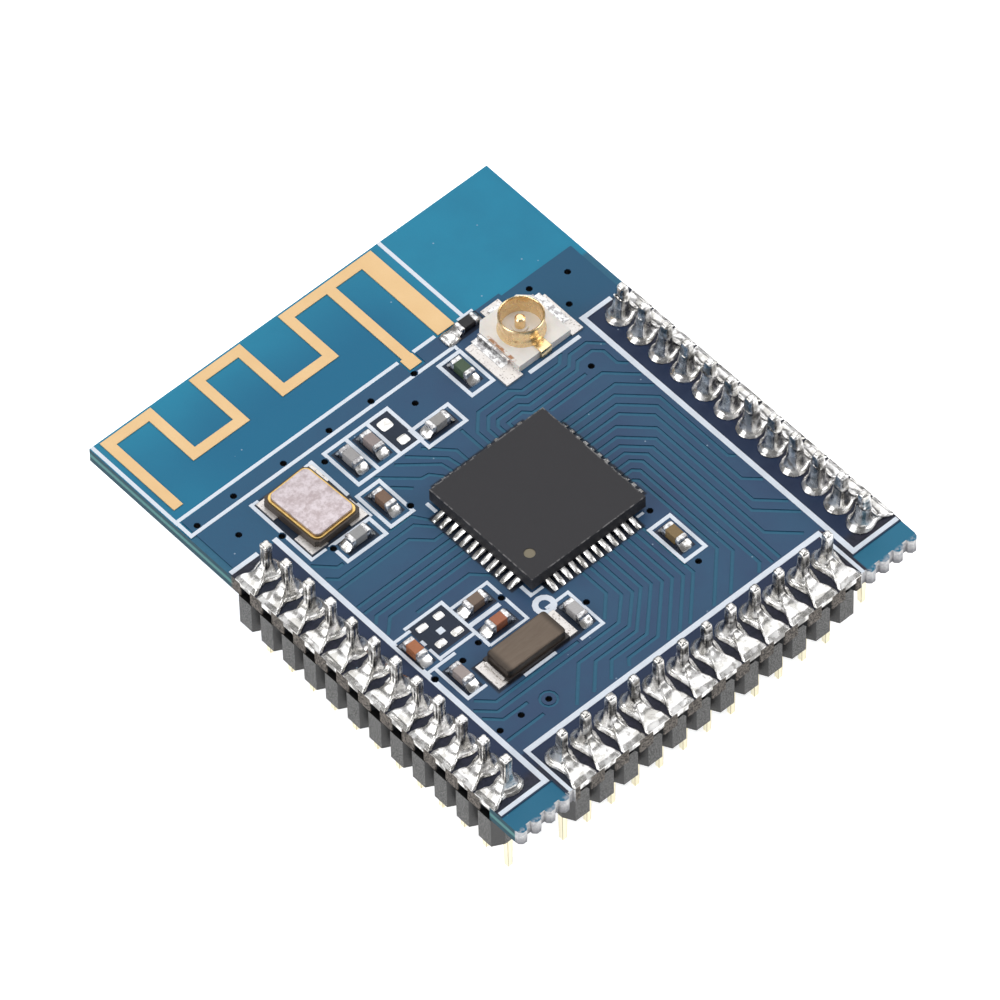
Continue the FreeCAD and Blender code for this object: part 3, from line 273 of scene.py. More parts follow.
class BoardFinish(Finish):
    """Blue mask over copper and over bare laminate, layered cut edges with a painted highlight along their
    middle, and painted shade down the hole walls, along the pin rows and round the parts.
    """

    # Where the white frames and the tabs begin, in mm
    ANTENNA_FRAME_D = 6.0
    SIDE_FRAME_X = 8.02
    SIDE_FRAME_D = 8.425
    FRONT_FRAME_D = 22.56
    TAB_FRAME_D = 24.225
    TAB_X = 7.525
    PIN_LINE_X = 9.1
    PIN_LINE_D = 23.4
    # Bare pads without a frame of their own, round which shade and flux are painted, as x, d and half sizes
    PAD_GROUPS = ((-1.17, 7.56, 0.52, 0.98), (-6.30, 15.98, 0.95, 0.86))
    FLUX_STAIN = (7.7, 22.6)

    def __init__(self, look):
        super().__init__("board_mask", Specular_IOR_Level=0.25)
        self.look = look
        self.cloud = self.noise(2.6, 3.0)
        self.fine = self.noise(0.16, 3.0, 0.7)
        self.aside = abs(self.x)  # how far left or right of the middle
        self.at_tab = self.aside.past(self.TAB_X, 0.025)
        level = abs(self.facing()).rise(0.35, 0.65)
        self.colour(self.mix(level, self.walls(), self.faces()))
        self.rough(look.mask_gloss + 0.16 * self.fine + (1 - level) * 0.25)
        self.bump(self.fine * 0.6 + self.noise(0.045, 2.0) * 0.4 + self.cloud, 0.006)

    def over_copper(self):
        """Mask over copper: greener on the left near the antenna and round the socket."""
        base = self.mix(self.cloud.rise(0.3, 0.7), tuple(self.look.copper_tone), tone(45, 73, 106))
        far_left = (1 - self.x.rise(-6.0, 5.0)) * (1 - self.d.rise(6.0, 17.0))
        base = self.mix(far_left * 0.85, base, tone(32, 91, 124))
        base = self.mix(self.fine * 0.35, base, tone(60, 78, 110))
        back_right = self.x.rise(5.0, 6.5) * (1 - self.d.rise(7.6, 9.2))
        return self.mix(back_right * 0.85, base, tone(30, 86, 118))

    def over_laminate(self):
        """Mask over bare laminate: deeper in the antenna field, dull in the track gaps and tabs."""
        base = self.mix(self.cloud.rise(0.3, 0.7), tuple(self.look.mask_tone), tone(20, 122, 156))
        base = self.mix(self.fine * 0.25, base, tone(48, 138, 168))
        deep = self.d.rise(-0.5, 3.5) * (1 - self.x.rise(1.5, 5.5)) * (0.6 + 0.4 * self.x.rise(-9.5, -6.0))
        base = self.mix(deep * 0.9, base, tone(13, 101, 138))
        gaps = self.d.past(self.ANTENNA_FRAME_D, 0.1) * (1 - self.d.past(self.TAB_FRAME_D - 0.025, 0.1))
        base = self.mix(gaps, base, self.mix(self.fine, tone(38, 90, 120), tone(50, 108, 134)))
        tabs = self.d.rise(20.0, 23.5)
        return self.mix(tabs * 0.65, base, self.mix(self.cloud, tone(30, 92, 122), tone(44, 104, 132)))

    def row_painted_shade(self, top):
        """Painted shade: navy between the frames and the pin rows, nearly black along the pins."""
        sides = self.aside.past(self.SIDE_FRAME_X, 0.04) * self.d.past(self.SIDE_FRAME_D, 0.075)
        tabs = self.d.past(self.TAB_FRAME_D, 0.075) * self.aside.past(self.SIDE_FRAME_X - 0.095, 0.075)
        zone = sides.most(self.d.past(self.FRONT_FRAME_D, 0.06)) * (1 - tabs)
        # Painted shade, darkest next to the pins
        near_pins = self.aside.past(self.PIN_LINE_X, 0.2).most(self.d.past(self.PIN_LINE_D, 0.2))
        black = self.mix(self.fine.rise(0.4, 0.6), tone(26, 23, 32), tone(42, 38, 52))
        return self.mix(zone * (0.8 + 0.2 * self.cloud), top, self.mix(near_pins, tone(26, 40, 70), black))

    def parts_painted_shade_and_flux(self, top):
        """Painted shade with some flux between the chip's leads, in the frames of the parts and round bare
        pads.
        """
        out = self.outside(CHIP_X, CHIP_D, 1.0, 1.0)
        along = abs(self.x - CHIP_X).least(abs(self.d - CHIP_D))
        past_row = along.past(LEAD_ROW_HALF + 0.26, 0.06)
        leads = out.span(CHIP_HALF - 0.10, CHIP_HALF + 0.58, 0.06) * (1 - past_row)
        # Painted shade with flux between the chip's leads
        top = self.mix(leads * 0.92, top, tone(15, 18, 30))
        ground = None
        for box in (*self.PAD_GROUPS, *part_frames()):
            patch = self.outside(*box)
            ground = patch if ground is None else ground.least(patch)
        # Painted shade with flux in the part frames and round the bare pads
        dark = self.mix(self.fine, tone(20, 24, 36), tone(38, 44, 60))
        return self.mix((1 - ground.past(1.0, 0.03)) * 0.88, top, dark)

    def faces(self):
        """The board's upper and under side."""
        copper = self.h.rise(-0.8 * RELIEF, -0.3 * RELIEF)
        top = self.mix(copper, self.over_laminate(), self.over_copper())
        top = self.parts_painted_shade_and_flux(self.row_painted_shade(top))
        stain = 1 - self.round_spot(*self.FLUX_STAIN).rise(0.01, 0.09)
        top = self.mix(stain * self.fine.rise(0.35, 0.6) * 0.6, top, tone(96, 70, 54))
        specks = 1 - self.cells(0.9).rise(0.025, 0.05)
        top = self.mix(specks * 0.5, top, tone(176, 196, 214))
        frayed = self.d.past(LENGTH - 0.05, 0.10) * self.at_tab * self.fine.rise(0.4, 0.6)
        top = self.mix(frayed, top, tone(150, 160, 172))
        under = self.mix(self.cloud.rise(0.3, 0.7), tuple(self.look.copper_tone), tone(36, 72, 104))
        return self.mix(self.h.past(-0.45, 0.05), under, top)

    def walls(self):
        """Hole walls with painted shade, sides with a pale mid-line that is a painted highlight over pale
        laminate, gritty cut stretches and torn tab ends.
        """
        layers = self.noise(0.09, 2.0, 0.6, (0.25, 0.25, 3.0))
        grit = self.noise(0.07, 3.0, 0.75).rise(0.40, 0.62)
        fibre = self.mix(grit, tone(34, 30, 28), self.mix(layers, tone(88, 82, 76), tone(138, 130, 122)))
        # Painted highlight along the middle of the cut side, together with the pale laminate there
        pale = 1 - abs(self.h + THICKNESS / 2).rise(0.05, 0.16)
        masked = self.mix(pale, tone(22, 64, 78), tone(74, 124, 124))
        plain = (1 - self.d.past(8.5, 0.1)).most(self.d.past(23.35, 0.05))
        at_side = self.aside.past(HALF_WIDTH - 0.045, 0.015)
        rim = self.mix(at_side * plain, fibre, masked)
        torn_end = self.d.past(LENGTH - 0.155, 0.015) * self.at_tab
        torn = self.mix(self.fine.rise(0.3, 0.7), tone(168, 170, 176), tone(224, 223, 222))
        torn_low = self.mix(self.fine, tone(96, 98, 104), tone(140, 140, 144))
        rim = self.mix(torn_end, rim, self.mix(self.h.rise(-0.85, -0.15), torn_low, torn))
        at_ends = self.d.past(LENGTH - 0.045, 0.015).most(1 - self.d.past(0.04, 0.02))
        outer = at_side.most(torn_end).most(at_ends)
        # Painted shade inside the holes: near black below the top, mask blue at the rim
        hole = self.mix(self.h.rise(-0.06, -0.05), tone(10, 13, 20), tone(34, 62, 92))
        return self.mix(outer, hole, rim)


def part_frames():
    """The boxes of painted shade and flux in the frame of each chip part and crystal, as x, d and half sizes
    in mm.
    """
    for node in (*CHIP_PARTS, "crystal_solder", "clock_crystal_solder"):
        half_x, half_d = half_sizes(node)
        grow_x = grow_d = 0.12
        if node in CHIP_PARTS:
            grow_x, grow_d = (0.50, 0.17) if half_x > half_d else (0.17, 0.50)
        yield (*centre_of(node), half_x + grow_x, half_d + grow_d)


def antenna_finish():
    """Satin gold flash over copper, slightly cloudy."""
    f = Finish("antenna_gold", Metallic=0.55, Specular_IOR_Level=0.5)
    fine = f.noise(0.1, 3.0, 0.7)
    wide = f.noise(1.6, 2.0)
    f.colour(f.mix(wide, f.mix(fine, tone(226, 192, 140), tone(242, 212, 168)), tone(222, 184, 132)))
    f.rough(0.42 + 0.2 * fine)
    f.bump(fine, 0.006)
    return f


def print_finish():
    """White ink, grainy and a little blue where it is thin."""
    f = Finish("print_ink", Specular_IOR_Level=0.35)
    fine = f.noise(0.07, 3.0, 0.7)
    wide = f.noise(0.9, 2.0)
    f.colour(f.mix(wide, tone(226, 234, 244), f.mix(fine, tone(202, 214, 230), tone(240, 244, 250))))
    f.rough(0.55 + 0.25 * fine)
    f.bump(fine, 0.012)
    return f


def solder_finish():
    """Bright tin with dull pools, a painted dark reflection on the steep flanks and a few flux stains."""
    look = bpy.context.scene.module_solder
    f = Finish("solder_tin", Metallic=1.0)
    streak = f.noise(0.42, 2.0, 0.5)
    fine = f.noise(0.07, 2.0, 0.5)
    stain = f.noise(0.42, 2.0).rise(0.64, 0.74)
    bright = f.mix(streak.rise(0.35, 0.6), tone(196, 194, 190), tone(244, 243, 242))
    # Painted dark reflection on the steep flanks, patchy
    flank = 1 - f.facing(2, "Normal").rise(0.02, 0.50)
    bright = f.mix(flank * f.noise(0.5, 2.0).rise(0.40, 0.56) * look.shade, bright, tone(84, 82, 80))
    f.colour(f.mix(stain * look.stain, bright, tone(70, 62, 50)))
    f.rough(look.gloss + 0.12 * streak.rise(0.45, 0.7) + stain * 0.2)
    f.bump(streak + fine * 0.12, 0.016)
    return f


def tin_finish():
    """Plated tin of part ends, leads and socket tabs, with duller blots."""
    f = Finish("end_tin", Metallic=0.95)
    blot = f.noise(0.18, 2.0, 0.6)
    f.colour(f.mix(blot.rise(0.35, 0.65), tone(150, 148, 150), tone(238, 238, 238)))
    f.rough(0.2 + 0.2 * blot)
    f.bump(blot, 0.015)
    return f


def pad_finish():
    """Thin dull solder with grey specks, as it lies beside the socket and the crystals."""
    f = Finish("pad_tin", Metallic=0.75)
    speck = f.noise(0.09, 3.0, 0.7)
    broad = f.noise(0.5, 2.0)
    dull = f.mix(broad, tone(206, 200, 196), tone(236, 233, 230))
    f.colour(f.mix(speck.rise(0.56, 0.66), dull, tone(150, 142, 136)))
    f.rough(0.34 + 0.2 * speck)
    f.bump(broad + speck * 0.3, 0.016)
    return f


def plastic_finish():
    """Black plastic, painted by facing: glossy notch faces painted near-black as shade, and speckled flats
    painted grey as lit faces.
    """
    f = Finish("header_plastic", Specular_IOR_Level=0.5)
    grain = f.noise(0.075, 3.0, 0.75)
    patch = f.noise(0.4, 2.0)
    # Painted light and shade by facing: faces square to x or y are painted as lit flats, the slanted notch
    # faces as shade
    flat = abs(f.facing(0)).most(abs(f.facing(1))).rise(0.9, 0.96)
    # Patchy painted light on the flats
    worn = f.mix(patch, tone(66, 66, 66), tone(104, 104, 102))
    # Painted lit flats, speckled with dark grain
    cut = f.mix(grain.rise(0.44, 0.60), tone(22, 22, 23), worn)
    # Painted shade on the notch faces
    moulded = f.mix(grain, tone(9, 9, 10), tone(19, 18, 20))
    f.colour(f.mix(flat, moulded, cut))
    f.rough(0.34 + 0.3 * patch * flat)
    f.bump(grain + patch * 0.5, 0.012)
    return f


def pin_finish():
    """Pale gold flash, with painted shade along the rounded corners."""
    f = Finish("pin_gold", Metallic=0.85)
    drawn = f.noise(0.08, 2.0, 0.6, (1.0, 1.0, 0.08))
    # Painted shade on the slanted faces of the rounded corners
    corner = abs(f.facing(0)).least(abs(f.facing(1))).rise(0.25, 0.45)
    f.colour(f.mix(corner, f.mix(drawn, tone(240, 228, 190), tone(254, 250, 228)), tone(120, 104, 70)))
    f.rough(0.3 + 0.16 * drawn)
    f.bump(drawn, 0.006)
    return f


def chip_finish():
    """Matte moulding compound, paler on its worn top edges, with a dull brassy index dot."""
    dot_inset_x = 0.82
    dot_inset_d = 1.04
    f = Finish("chip_moulding", Specular_IOR_Level=0.45)
    grain = f.noise(0.035, 3.0, 0.8)
    cloud = f.noise(1.8, 3.0)
    body = f.mix(grain, tone(29, 28, 31), tone(54, 53, 57))
    body = f.mix(cloud * 0.4, body, tone(38, 37, 41))
    out = f.outside(CHIP_X, CHIP_D, 1.0, 1.0)
    top_edge = out.rise(CHIP_HALF - 0.07, CHIP_HALF - 0.015) * f.h.rise(0.80, 0.845)
    body = f.mix(top_edge * f.noise(0.22, 3.0).rise(0.42, 0.6) * 0.6, body, tone(140, 138, 138))
    distance = f.round_spot(CHIP_X - CHIP_HALF + dot_inset_x, CHIP_D + CHIP_HALF - dot_inset_d)
    dot = (1 - distance.rise(0.046, 0.060)) * f.h.rise(0.78, 0.80)
    f.colour(f.mix(dot, body, f.mix(grain, tone(112, 104, 88), tone(142, 134, 112))))
    f.rough(0.50 + 0.22 * grain)
    f.bump(grain + cloud * 0.3, 0.008)
    return f


def ceramic_finish(name, colour, rough=0.42):
    """Fired ceramic: fine mottling round one colour."""
    contrast = 0.18
    f = Finish(name, Specular_IOR_Level=0.5)
    mottle = f.noise(0.07, 3.0, 0.7)
    broad = f.noise(0.3, 2.0)
    dark = tone(*[c * (1 - contrast) for c in colour])
    light = tone(*[min(255, c * (1 + contrast)) for c in colour])
    f.colour(f.mix(broad, f.mix(mottle, dark, light), tone(*colour)))
    f.rough(rough + 0.2 * mottle)
    f.bump(mottle, 0.01)
    return f


def crystal_lid_finish():
    """Satin nickel with a faint cloud of scratches and dull spots."""
    f = Finish("crystal_lid_nickel", Metallic=0.75)
    cloud = f.noise(0.35, 4.0, 0.7)
    fine = f.noise(0.05, 2.0, 0.6, (0.4, 1.6, 1.0))
    f.colour(f.mix(cloud.rise(0.35, 0.65), tone(178, 164, 166), tone(214, 204, 208)))
    f.rough(0.36 + 0.18 * cloud)
    f.bump(cloud + fine * 0.3, 0.006)
    return f


def gold_finish(name, low, high, rough):
    """Gold plate that clouds between two tones."""
    f = Finish(name, Metallic=1.0)
    cloud = f.noise(0.3, 3.0, 0.6)
    f.colour(f.mix(cloud, tone(*low), tone(*high)))
    f.rough(rough + 0.15 * cloud)
    f.bump(cloud, 0.01)
    return f


def clock_lid_finish():
    """Brown-grey drawn metal with brushed lines along its length and darker ends."""
    f = Finish("clock_lid_metal", Metallic=0.55)
    brushed = f.noise(0.10, 3.0, 0.7, (0.15, 1.0, 1.0))
    cloud = f.noise(0.5, 3.0, 0.6)
    drawn = f.mix(brushed, f.mix(cloud, tone(82, 69, 58), tone(104, 91, 79)), tone(116, 103, 91))
    half_long = half_sizes("clock_crystal_lid")[0]
    from_middle = abs(f.x - centre_of("clock_crystal_lid")[0])
    ends = from_middle.rise(half_long - 0.365, half_long - 0.095)
    f.colour(f.mix(ends * 0.7, drawn, tone(44, 38, 34)))
    f.rough(0.34 + 0.2 * cloud)
    f.bump(brushed, 0.006)
    return f


def socket_plastic_finish():
    """Milky plastic with a brown scuff beside the left terminal."""
    f = Finish("socket_plastic", Specular_IOR_Level=0.5, Subsurface_Weight=0.1, Subsurface_Scale=0.4 * MM)
    cloud = f.noise(0.6, 3.0, 0.6)
    left = centre_of("socket_base")[0] - half_sizes("socket_base")[0]
    beside_terminal = f.x.span(left + 0.005, left + 0.155, 0.03) * f.d.span(6.75, 8.35, 0.1)
    scuff = beside_terminal * f.noise(0.25, 3.0).rise(0.38, 0.5)
    white = f.mix(cloud, tone(224, 218, 212), tone(244, 241, 238))
    f.colour(f.mix(scuff * 0.9, white, tone(170, 110, 56)))
    f.rough(0.4 + 0.2 * cloud)
    f.bump(cloud, 0.02)
    return f


def floor_finish():
    """White paper that glows a little, so that it stays white round the module."""
    f = Finish("floor_paper", Roughness=0.9, Emission_Color=tone(255, 255, 255), Emission_Strength=0.8)
    f.colour(f.mix(f.noise(30.0, 2.0), tone(252, 252, 252), tone(255, 255, 255)))
    return f


MAKERS = {
    "board": lambda: BoardFinish(bpy.context.scene.module_board),
    "antenna": antenna_finish,
    "print": print_finish,
    "solder": solder_finish,
    "tin": tin_finish,
    "pad": pad_finish,
    "plastic": plastic_finish,
    "pin": pin_finish,
    "chip": chip_finish,
    "crystal_lid": crystal_lid_finish,
    "clock_lid": clock_lid_finish,
    "socket_plastic": socket_plastic_finish,
    "crystal_ceramic": partial(ceramic_finish, "crystal_tray", (70, 60, 52), 0.35),
    "clock_ceramic": partial(ceramic_finish, "clock_tray", (38, 32, 30), 0.35),
    "crystal_gold": partial(gold_finish, "crystal_ring_gold", (186, 140, 70), (244, 214, 140), 0.26),
    "socket_gold": partial(gold_finish, "socket_ring_gold", (240, 204, 146), (252, 232, 192), 0.20),
    "floor": floor_finish,
}
for part_name, (body_colour, _) in CHIP_PARTS.items():
    MAKERS[part_name] = partial(ceramic_finish, part_name + "_ceramic", body_colour)


def dress(node, name):
    """Gives a carried-over solid its material."""
    body = NODES[node]
    body.data.materials.clear()
    body.data.materials.append(finish(name))


def add_piece(name, bm, material, replaced, angle=40):
    """Makes the mesh a piece that rides on the module and stands for a solid."""
    bmesh.ops.recalc_face_normals(bm, faces=bm.faces)
    mesh = bpy.data.meshes.new(name)
    bm.to_mesh(mesh)
    bm.free()
    piece = bpy.data.objects.new(name, mesh)
    bpy.context.scene.collection.objects.link(piece)
    mesh.materials.append(material)
    mesh.shade_smooth()
    mesh.set_sharp_from_angle(angle=math.radians(angle))
    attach(piece, "root")
    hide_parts(replaced)


def edges_of(verts):
    """The edges at some vertices, each once and in the same order every time."""
    return list(dict.fromkeys(e for v in verts for e in v.link_edges))


def loft(bm, count, stations, shape):
    """A closed skin drawn up through rings: shape places a corner by its turn and its station."""
    turn = bm.verts.layers.int.get("turn") or bm.verts.layers.int.new("turn")
    ring = bmesh.ops.create_circle(bm, cap_ends=True, segments=count, radius=1.0)["verts"]
    for i, v in enumerate(ring):
        v[turn] = i
        v.co = shape(i / count, stations[0])
    edges = edges_of(ring)
    for station in stations[1:]:
        drawn = bmesh.ops.extrude_edge_only(bm, edges=edges)["geom"]
        edges = [g for g in drawn if isinstance(g, bmesh.types.BMEdge)]
        for v in drawn:
            if isinstance(v, bmesh.types.BMVert):
                v.co = shape(v[turn] / count, station)
    bmesh.ops.edgeloop_fill(bm, edges=edges)


def bevel(bm, edges, width, segments):
    """Rounds edges by a width in metres."""
    bmesh.ops.bevel(bm, geom=edges, offset=width, segments=segments, profile=0.5, affect="EDGES",
                    material=-1)


def add_box(bm, low, high, rounding=0.0, segments=2, cuts=0):
    """A block between two corners, given in metres, its edges rounded; returns its vertices."""
    first = len(bm.verts)
    place = Matrix.Translation((low + high) / 2) @ Matrix.Diagonal((*(high - low), 1.0))
    made = bmesh.ops.create_cube(bm, size=1.0, matrix=place)["verts"]
    edges = edges_of(made)
    if rounding:
        bevel(bm, edges, rounding, segments)
    if cuts:
        bmesh.ops.subdivide_edges(bm, edges=edges, cuts=cuts, use_grid_fill=True)
    bm.verts.ensure_lookup_table()
    return bm.verts[first:]


class Row:
    """One pin row: u along the pins, v out over the board's edge, all in millimetres."""

    def __init__(self, name):
        low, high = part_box(name + "_header_pins")
        half_pin = PIN_SIDE * MM / 2
        self.name = name
        self.number = ROWS.index(name)
        if name == "front":
            self.first = Vector((low.x + half_pin, (low.y + high.y) / 2, 0)) / MM
            self.u = Vector((1, 0, 0))
            self.v = Vector((0, -1, 0))
            self.edge = self.first.y - (EDGE_Y / MM - LENGTH)
        else:
            sign = -1 if name == "left" else 1
            self.first = Vector(((low.x + high.x) / 2, high.y - half_pin, 0)) / MM
            self.u = Vector((0, -1, 0))
            self.v = Vector((sign, 0, 0))
            self.edge = HALF_WIDTH - abs(self.first.x)

    def point(self, index, along, out, height):
        """A point near one pin, in metres, with its height over the board."""
        flat = self.first + self.u * (index * PITCH + along) + self.v * out
        return Vector((flat.x * MM, flat.y * MM, TOP + height * MM))


def spread(outline, step):
    """Corners set evenly along a closed outline of (out, along), its own corners among them."""
    corners = []
    for (o0, a0), (o1, a1) in zip(outline, outline[1:] + outline[:1]):
        count = max(1, round(math.hypot(o1 - o0, a1 - a0) / step))
        corners += [(o0 + (o1 - o0) * k / count, a0 + (a1 - a0) * k / count) for k in range(count)]
    return corners


class Joint:
    """One soldered pin: a waisted sheet on the pad, flared up the pin to a tinned square top."""

    # Heights over the board, in mm: the sheet's lip, the lowest of the pin's rings, and where they lie level
    LIP = 0.05
    PIN_FOOT = 0.8
    PIN_LEVEL = 1.2
    # Each row and each pin takes its noise from a place of its own
    ROW_SEEDS = (0.0, 41.0, 83.0)
    PIN_SEED = 7.31

    def __init__(self, row, index, look):
        self.row = row
        self.index = index
        self.seed = index * self.PIN_SEED + self.ROW_SEEDS[row.number]
        self.lumps = look.lumps[row.number]
        self.squareness = look.square[row.number]
        self.ridge = look.ridge[row.number] / MM
        self.bulk = look.bulk[row.number] / MM
        self.round_top = look.round_top[row.number]
        self.lean = 0.05 * self.wobble(1.3, 2.1)
        self.sway = 0.05 * (1 + self.lumps) * self.wobble(5.3, 0.4)
        self.swell = look.plump[row.number] * (1 + 0.3 * self.wobble(3.1, 4.7))
        self.core = 0.21 + 0.5 * self.bulk
        self.corners = spread(self.outline(), look.step / MM)

    def wobble(self, a, b, scale=1.0):
        """Noise from -1 to 1."""
        return noise.noise(Vector((a * scale, b * scale, self.seed)))

    def outline(self):
        """The foot as (out, along): wide at the board's edge, waisted, and round behind the pin."""
        edge = self.row.edge
        bulge = 0.03 * self.wobble(2.2, 7.1)
        half = [(edge, 0.57), (edge - 0.13, 0.60), (edge - 0.30, 0.54), (edge - 0.50, 0.43),
                (edge - 0.74, 0.40 + bulge), (0.18, 0.50 + bulge), (-0.06, 0.565), (-0.30, 0.55),
                (-0.52, 0.43), (-0.66, 0.22), (-0.71, 0.0)]
        return half + [(out, -along) for out, along in half[-2::-1]]

    def stations(self):
        """Rings from the outline in to the pin, as shares of the way, then up it, as radius and height."""
        crown = 1 - self.round_top
        shares = [1.0, 0.99, 0.97, 0.94] + [1 - 0.048 * n for n in range(2, 21)]
        pin = [(0.215, 0.90), (0.212, 1.05), (0.21, 1.2), (0.21, 1.34), (0.212, 1.48), (0.217, 1.60),
               (0.222 - 0.012 * self.round_top, 1.70), (0.222 - 0.03 * self.round_top, 1.78),
               (0.150 + 0.065 * crown, 1.84), (0.08 + 0.115 * crown, 1.865), (0.03 + 0.10 * crown, 1.875)]
        sheet = [("sheet", share, 0.0) for share in shares]
        return [("floor", 1.0, 0.0)] + sheet + [("pin", radius, height) for radius, height in pin]

    def place(self, turn, station):
        """Where one corner of a ring lies, in metres."""
        kind, size, height = station
        out, along = self.corners[round(turn * len(self.corners)) % len(self.corners)]
        angle = math.atan2(along, out)
        back = 0.5 - 0.5 * math.cos(angle)
        fin = max(0.0, math.cos(angle)) ** 4
        square = 1 - self.squareness * math.cos(4 * angle)
        foot = (0.30 + 0.60 * back + self.ridge * fin) * self.swell
        if kind == "pin":
            near_bulge = max(0.0, 1 - abs(height - 1.0) / 0.75)
            bulk = self.bulk * (1 + 0.4 * self.wobble(angle, 0.3, 0.6)) * near_bulge
            dent = 0.06 * self.lumps * self.wobble(math.cos(angle) * 0.6, height * 1.5, 1.2)
            radius = (size + bulk) * square * (1 + dent)
            if height < self.PIN_LEVEL:
                low = foot + 0.10 * self.swell
                share = (height - self.PIN_FOOT) / (self.PIN_LEVEL - self.PIN_FOOT)
                height = low + share * (self.PIN_LEVEL - low)
        else:
            radius = self.core * square + (math.hypot(out, along) - self.core * square) * size
            if kind == "sheet":
                steepness = 5.5 - 2.6 * back - 8 * self.ridge * fin
                height = self.sheet_height(1 - size, radius, angle, foot, steepness)
        blend = min(1.0, max(0.0, (height - 0.2) / 1.5))
        side = radius * math.sin(angle) + self.sway * blend
        front = min(radius * math.cos(angle) + self.lean * blend, self.row.edge)
        return self.row.point(self.index, side, front, min(height, PIN_TOP - 0.004))

    def sheet_height(self, away, radius, angle, foot, steepness):
        """The sheet's height from how far it is from the outline to the pin: a soft lip, then a climb."""
        lift = self.LIP + 0.10 * min(1.0, away * 5) + 0.10 * away ** 2 * self.swell
        climb = max(0.0, foot - self.LIP) * away ** steepness
        ripple = self.lumps * self.wobble(radius * math.cos(angle), radius * math.sin(angle), 1.9)
        return lift + climb + 0.035 * ripple * min(1.0, away * 4)

    def add_to(self, bm):
        loft(bm, len(self.corners), self.stations(), self.place)


def add_edge_fill(bm, row, index):
    """Solder that fills the upper part of the half hole below one joint, arched underneath."""
    hole_radius = 0.285 * MM
    arch = 0.12 * MM
    depth = 0.26 + 0.10 * noise.noise(Vector((index * 3.7, row.edge * 11.0, 2.0)))
    centre = row.point(index, 0, row.edge, 0.02 - depth / 2)
    first = len(bm.verts)
    made = bmesh.ops.create_cone(bm, cap_ends=True, segments=24, radius1=hole_radius, radius2=hole_radius,
                                 depth=depth * MM, matrix=Matrix.Translation(centre))["verts"]
    faces = list(dict.fromkeys(f for v in made for f in v.link_faces))
    plane = row.point(index, 0, row.edge - 0.004, 0)
    cut = bmesh.ops.bisect_plane(bm, geom=made + edges_of(made) + faces, plane_co=plane, plane_no=row.v,
                                 clear_outer=True)["geom_cut"]
    bmesh.ops.edgeloop_fill(bm, edges=[g for g in cut if isinstance(g, bmesh.types.BMEdge)])
    bm.verts.ensure_lookup_table()
    for v in bm.verts[first:]:
        if v.co.z < centre.z:
            v.co.z += (1 - abs((v.co - centre).dot(row.u)) / hole_radius) * arch


def add_wedge(bm, start, out, across, length, width, height, flare, seed, lift):
    """A solder fillet that runs down from a wall to its pad, in metres, with a concave top."""
    made = add_box(bm, Vector((0, -0.5, 0)), Vector((1, 0.5, 1)), cuts=4)
    for v in made:
        t, side, up = v.co
        fall = (1 - t) ** 2.2
        crown = 1 - 0.35 * (2 * side) ** 4 * (0.4 + 0.6 * t)
        ripple = 1 + 0.18 * noise.noise(Vector((t * 2.1, side * 2.3, seed)))
        rise = height * (lift * (1 - t ** 3) + (1 - lift) * fall) * crown * ripple
        wide = width * (1 + flare * t) * (1 - 0.35 * t ** 4)
        lifted = Vector((0, 0, up * max(rise, 0.004 * MM)))
        v.co = start + out * (t * length) + across * (side * wide) + lifted


def within(v, low, high):
    """Where a vertex lies across a block, from -1 to 1 along x and along y."""
    return ((v.co.x - (low.x + high.x) / 2) / (high.x - low.x) * 2,
            (v.co.y - (low.y + high.y) / 2) / (high.y - low.y) * 2)


class ModuleBoard(bpy.types.PropertyGroup):
    """Colours of the board's mask"""

    mask_tone: bpy.props.FloatVectorProperty(
        name="Bare mask", description="Mask over bare laminate",
        subtype="COLOR", size=4, default=tone(22, 130, 164))
    copper_tone: bpy.props.FloatVectorProperty(
        name="Copper mask", description="Mask over copper",
        subtype="COLOR", size=4, default=tone(44, 84, 115))
    mask_gloss: bpy.props.FloatProperty(
        name="Mask roughness", description="Roughness of the mask",
        subtype="FACTOR", default=0.36, min=0.0, max=1.0)


class ModuleSolder(bpy.types.PropertyGroup):
    """Shape and gloss of the solder at the pins; three values are for the left, right and front row"""

    step: bpy.props.FloatProperty(
        name="Step", description="Distance between the corners of a joint's outline",
        unit="LENGTH", default=0.09 * MM, min=0.04 * MM)
    plump: bpy.props.FloatVectorProperty(
        name="Plumpness", description="Height of the flare round each pin",
        size=3, default=(1.0, 1.35, 1.05))
    square: bpy.props.FloatVectorProperty(
        name="Squareness", description="Squareness of the tinned pins",
        size=3, default=(0.13, 0.07, 0.08))
    lumps: bpy.props.FloatVectorProperty(
        name="Lumps", description="Unevenness of the joints",
        size=3, default=(0.9, 2.0, 1.1))
    ridge: bpy.props.FloatVectorProperty(
        name="Ridge", description="Height of the ridge from each pin to the board's edge",
        unit="LENGTH", size=3, default=(0.16 * MM, 0.10 * MM, 0.03 * MM))
    bulk: bpy.props.FloatVectorProperty(
        name="Bulk", description="Thickness of the solder round the pins",
        unit="LENGTH", size=3, default=(0.0, 0.10 * MM, 0.01 * MM))
    round_top: bpy.props.FloatVectorProperty(
        name="Round tops", description="Roundness of the tinned tops",
        size=3, default=(0.1, 0.6, 0.9), min=0.0, max=1.0)
    gloss: bpy.props.FloatProperty(
        name="Roughness", description="Roughness of bright solder",
        subtype="FACTOR", default=0.24, min=0.0, max=1.0)
    # Strength of the painted dark reflection on the steep solder flanks
    shade: bpy.props.FloatProperty(
        name="Shade", description="Darkness of the steep flanks",
        subtype="FACTOR", default=0.8, min=0.0, max=1.0)
    stain: bpy.props.FloatProperty(
        name="Stain", description="Strength of flux stains",
        subtype="FACTOR", default=0.6, min=0.0, max=1.0)


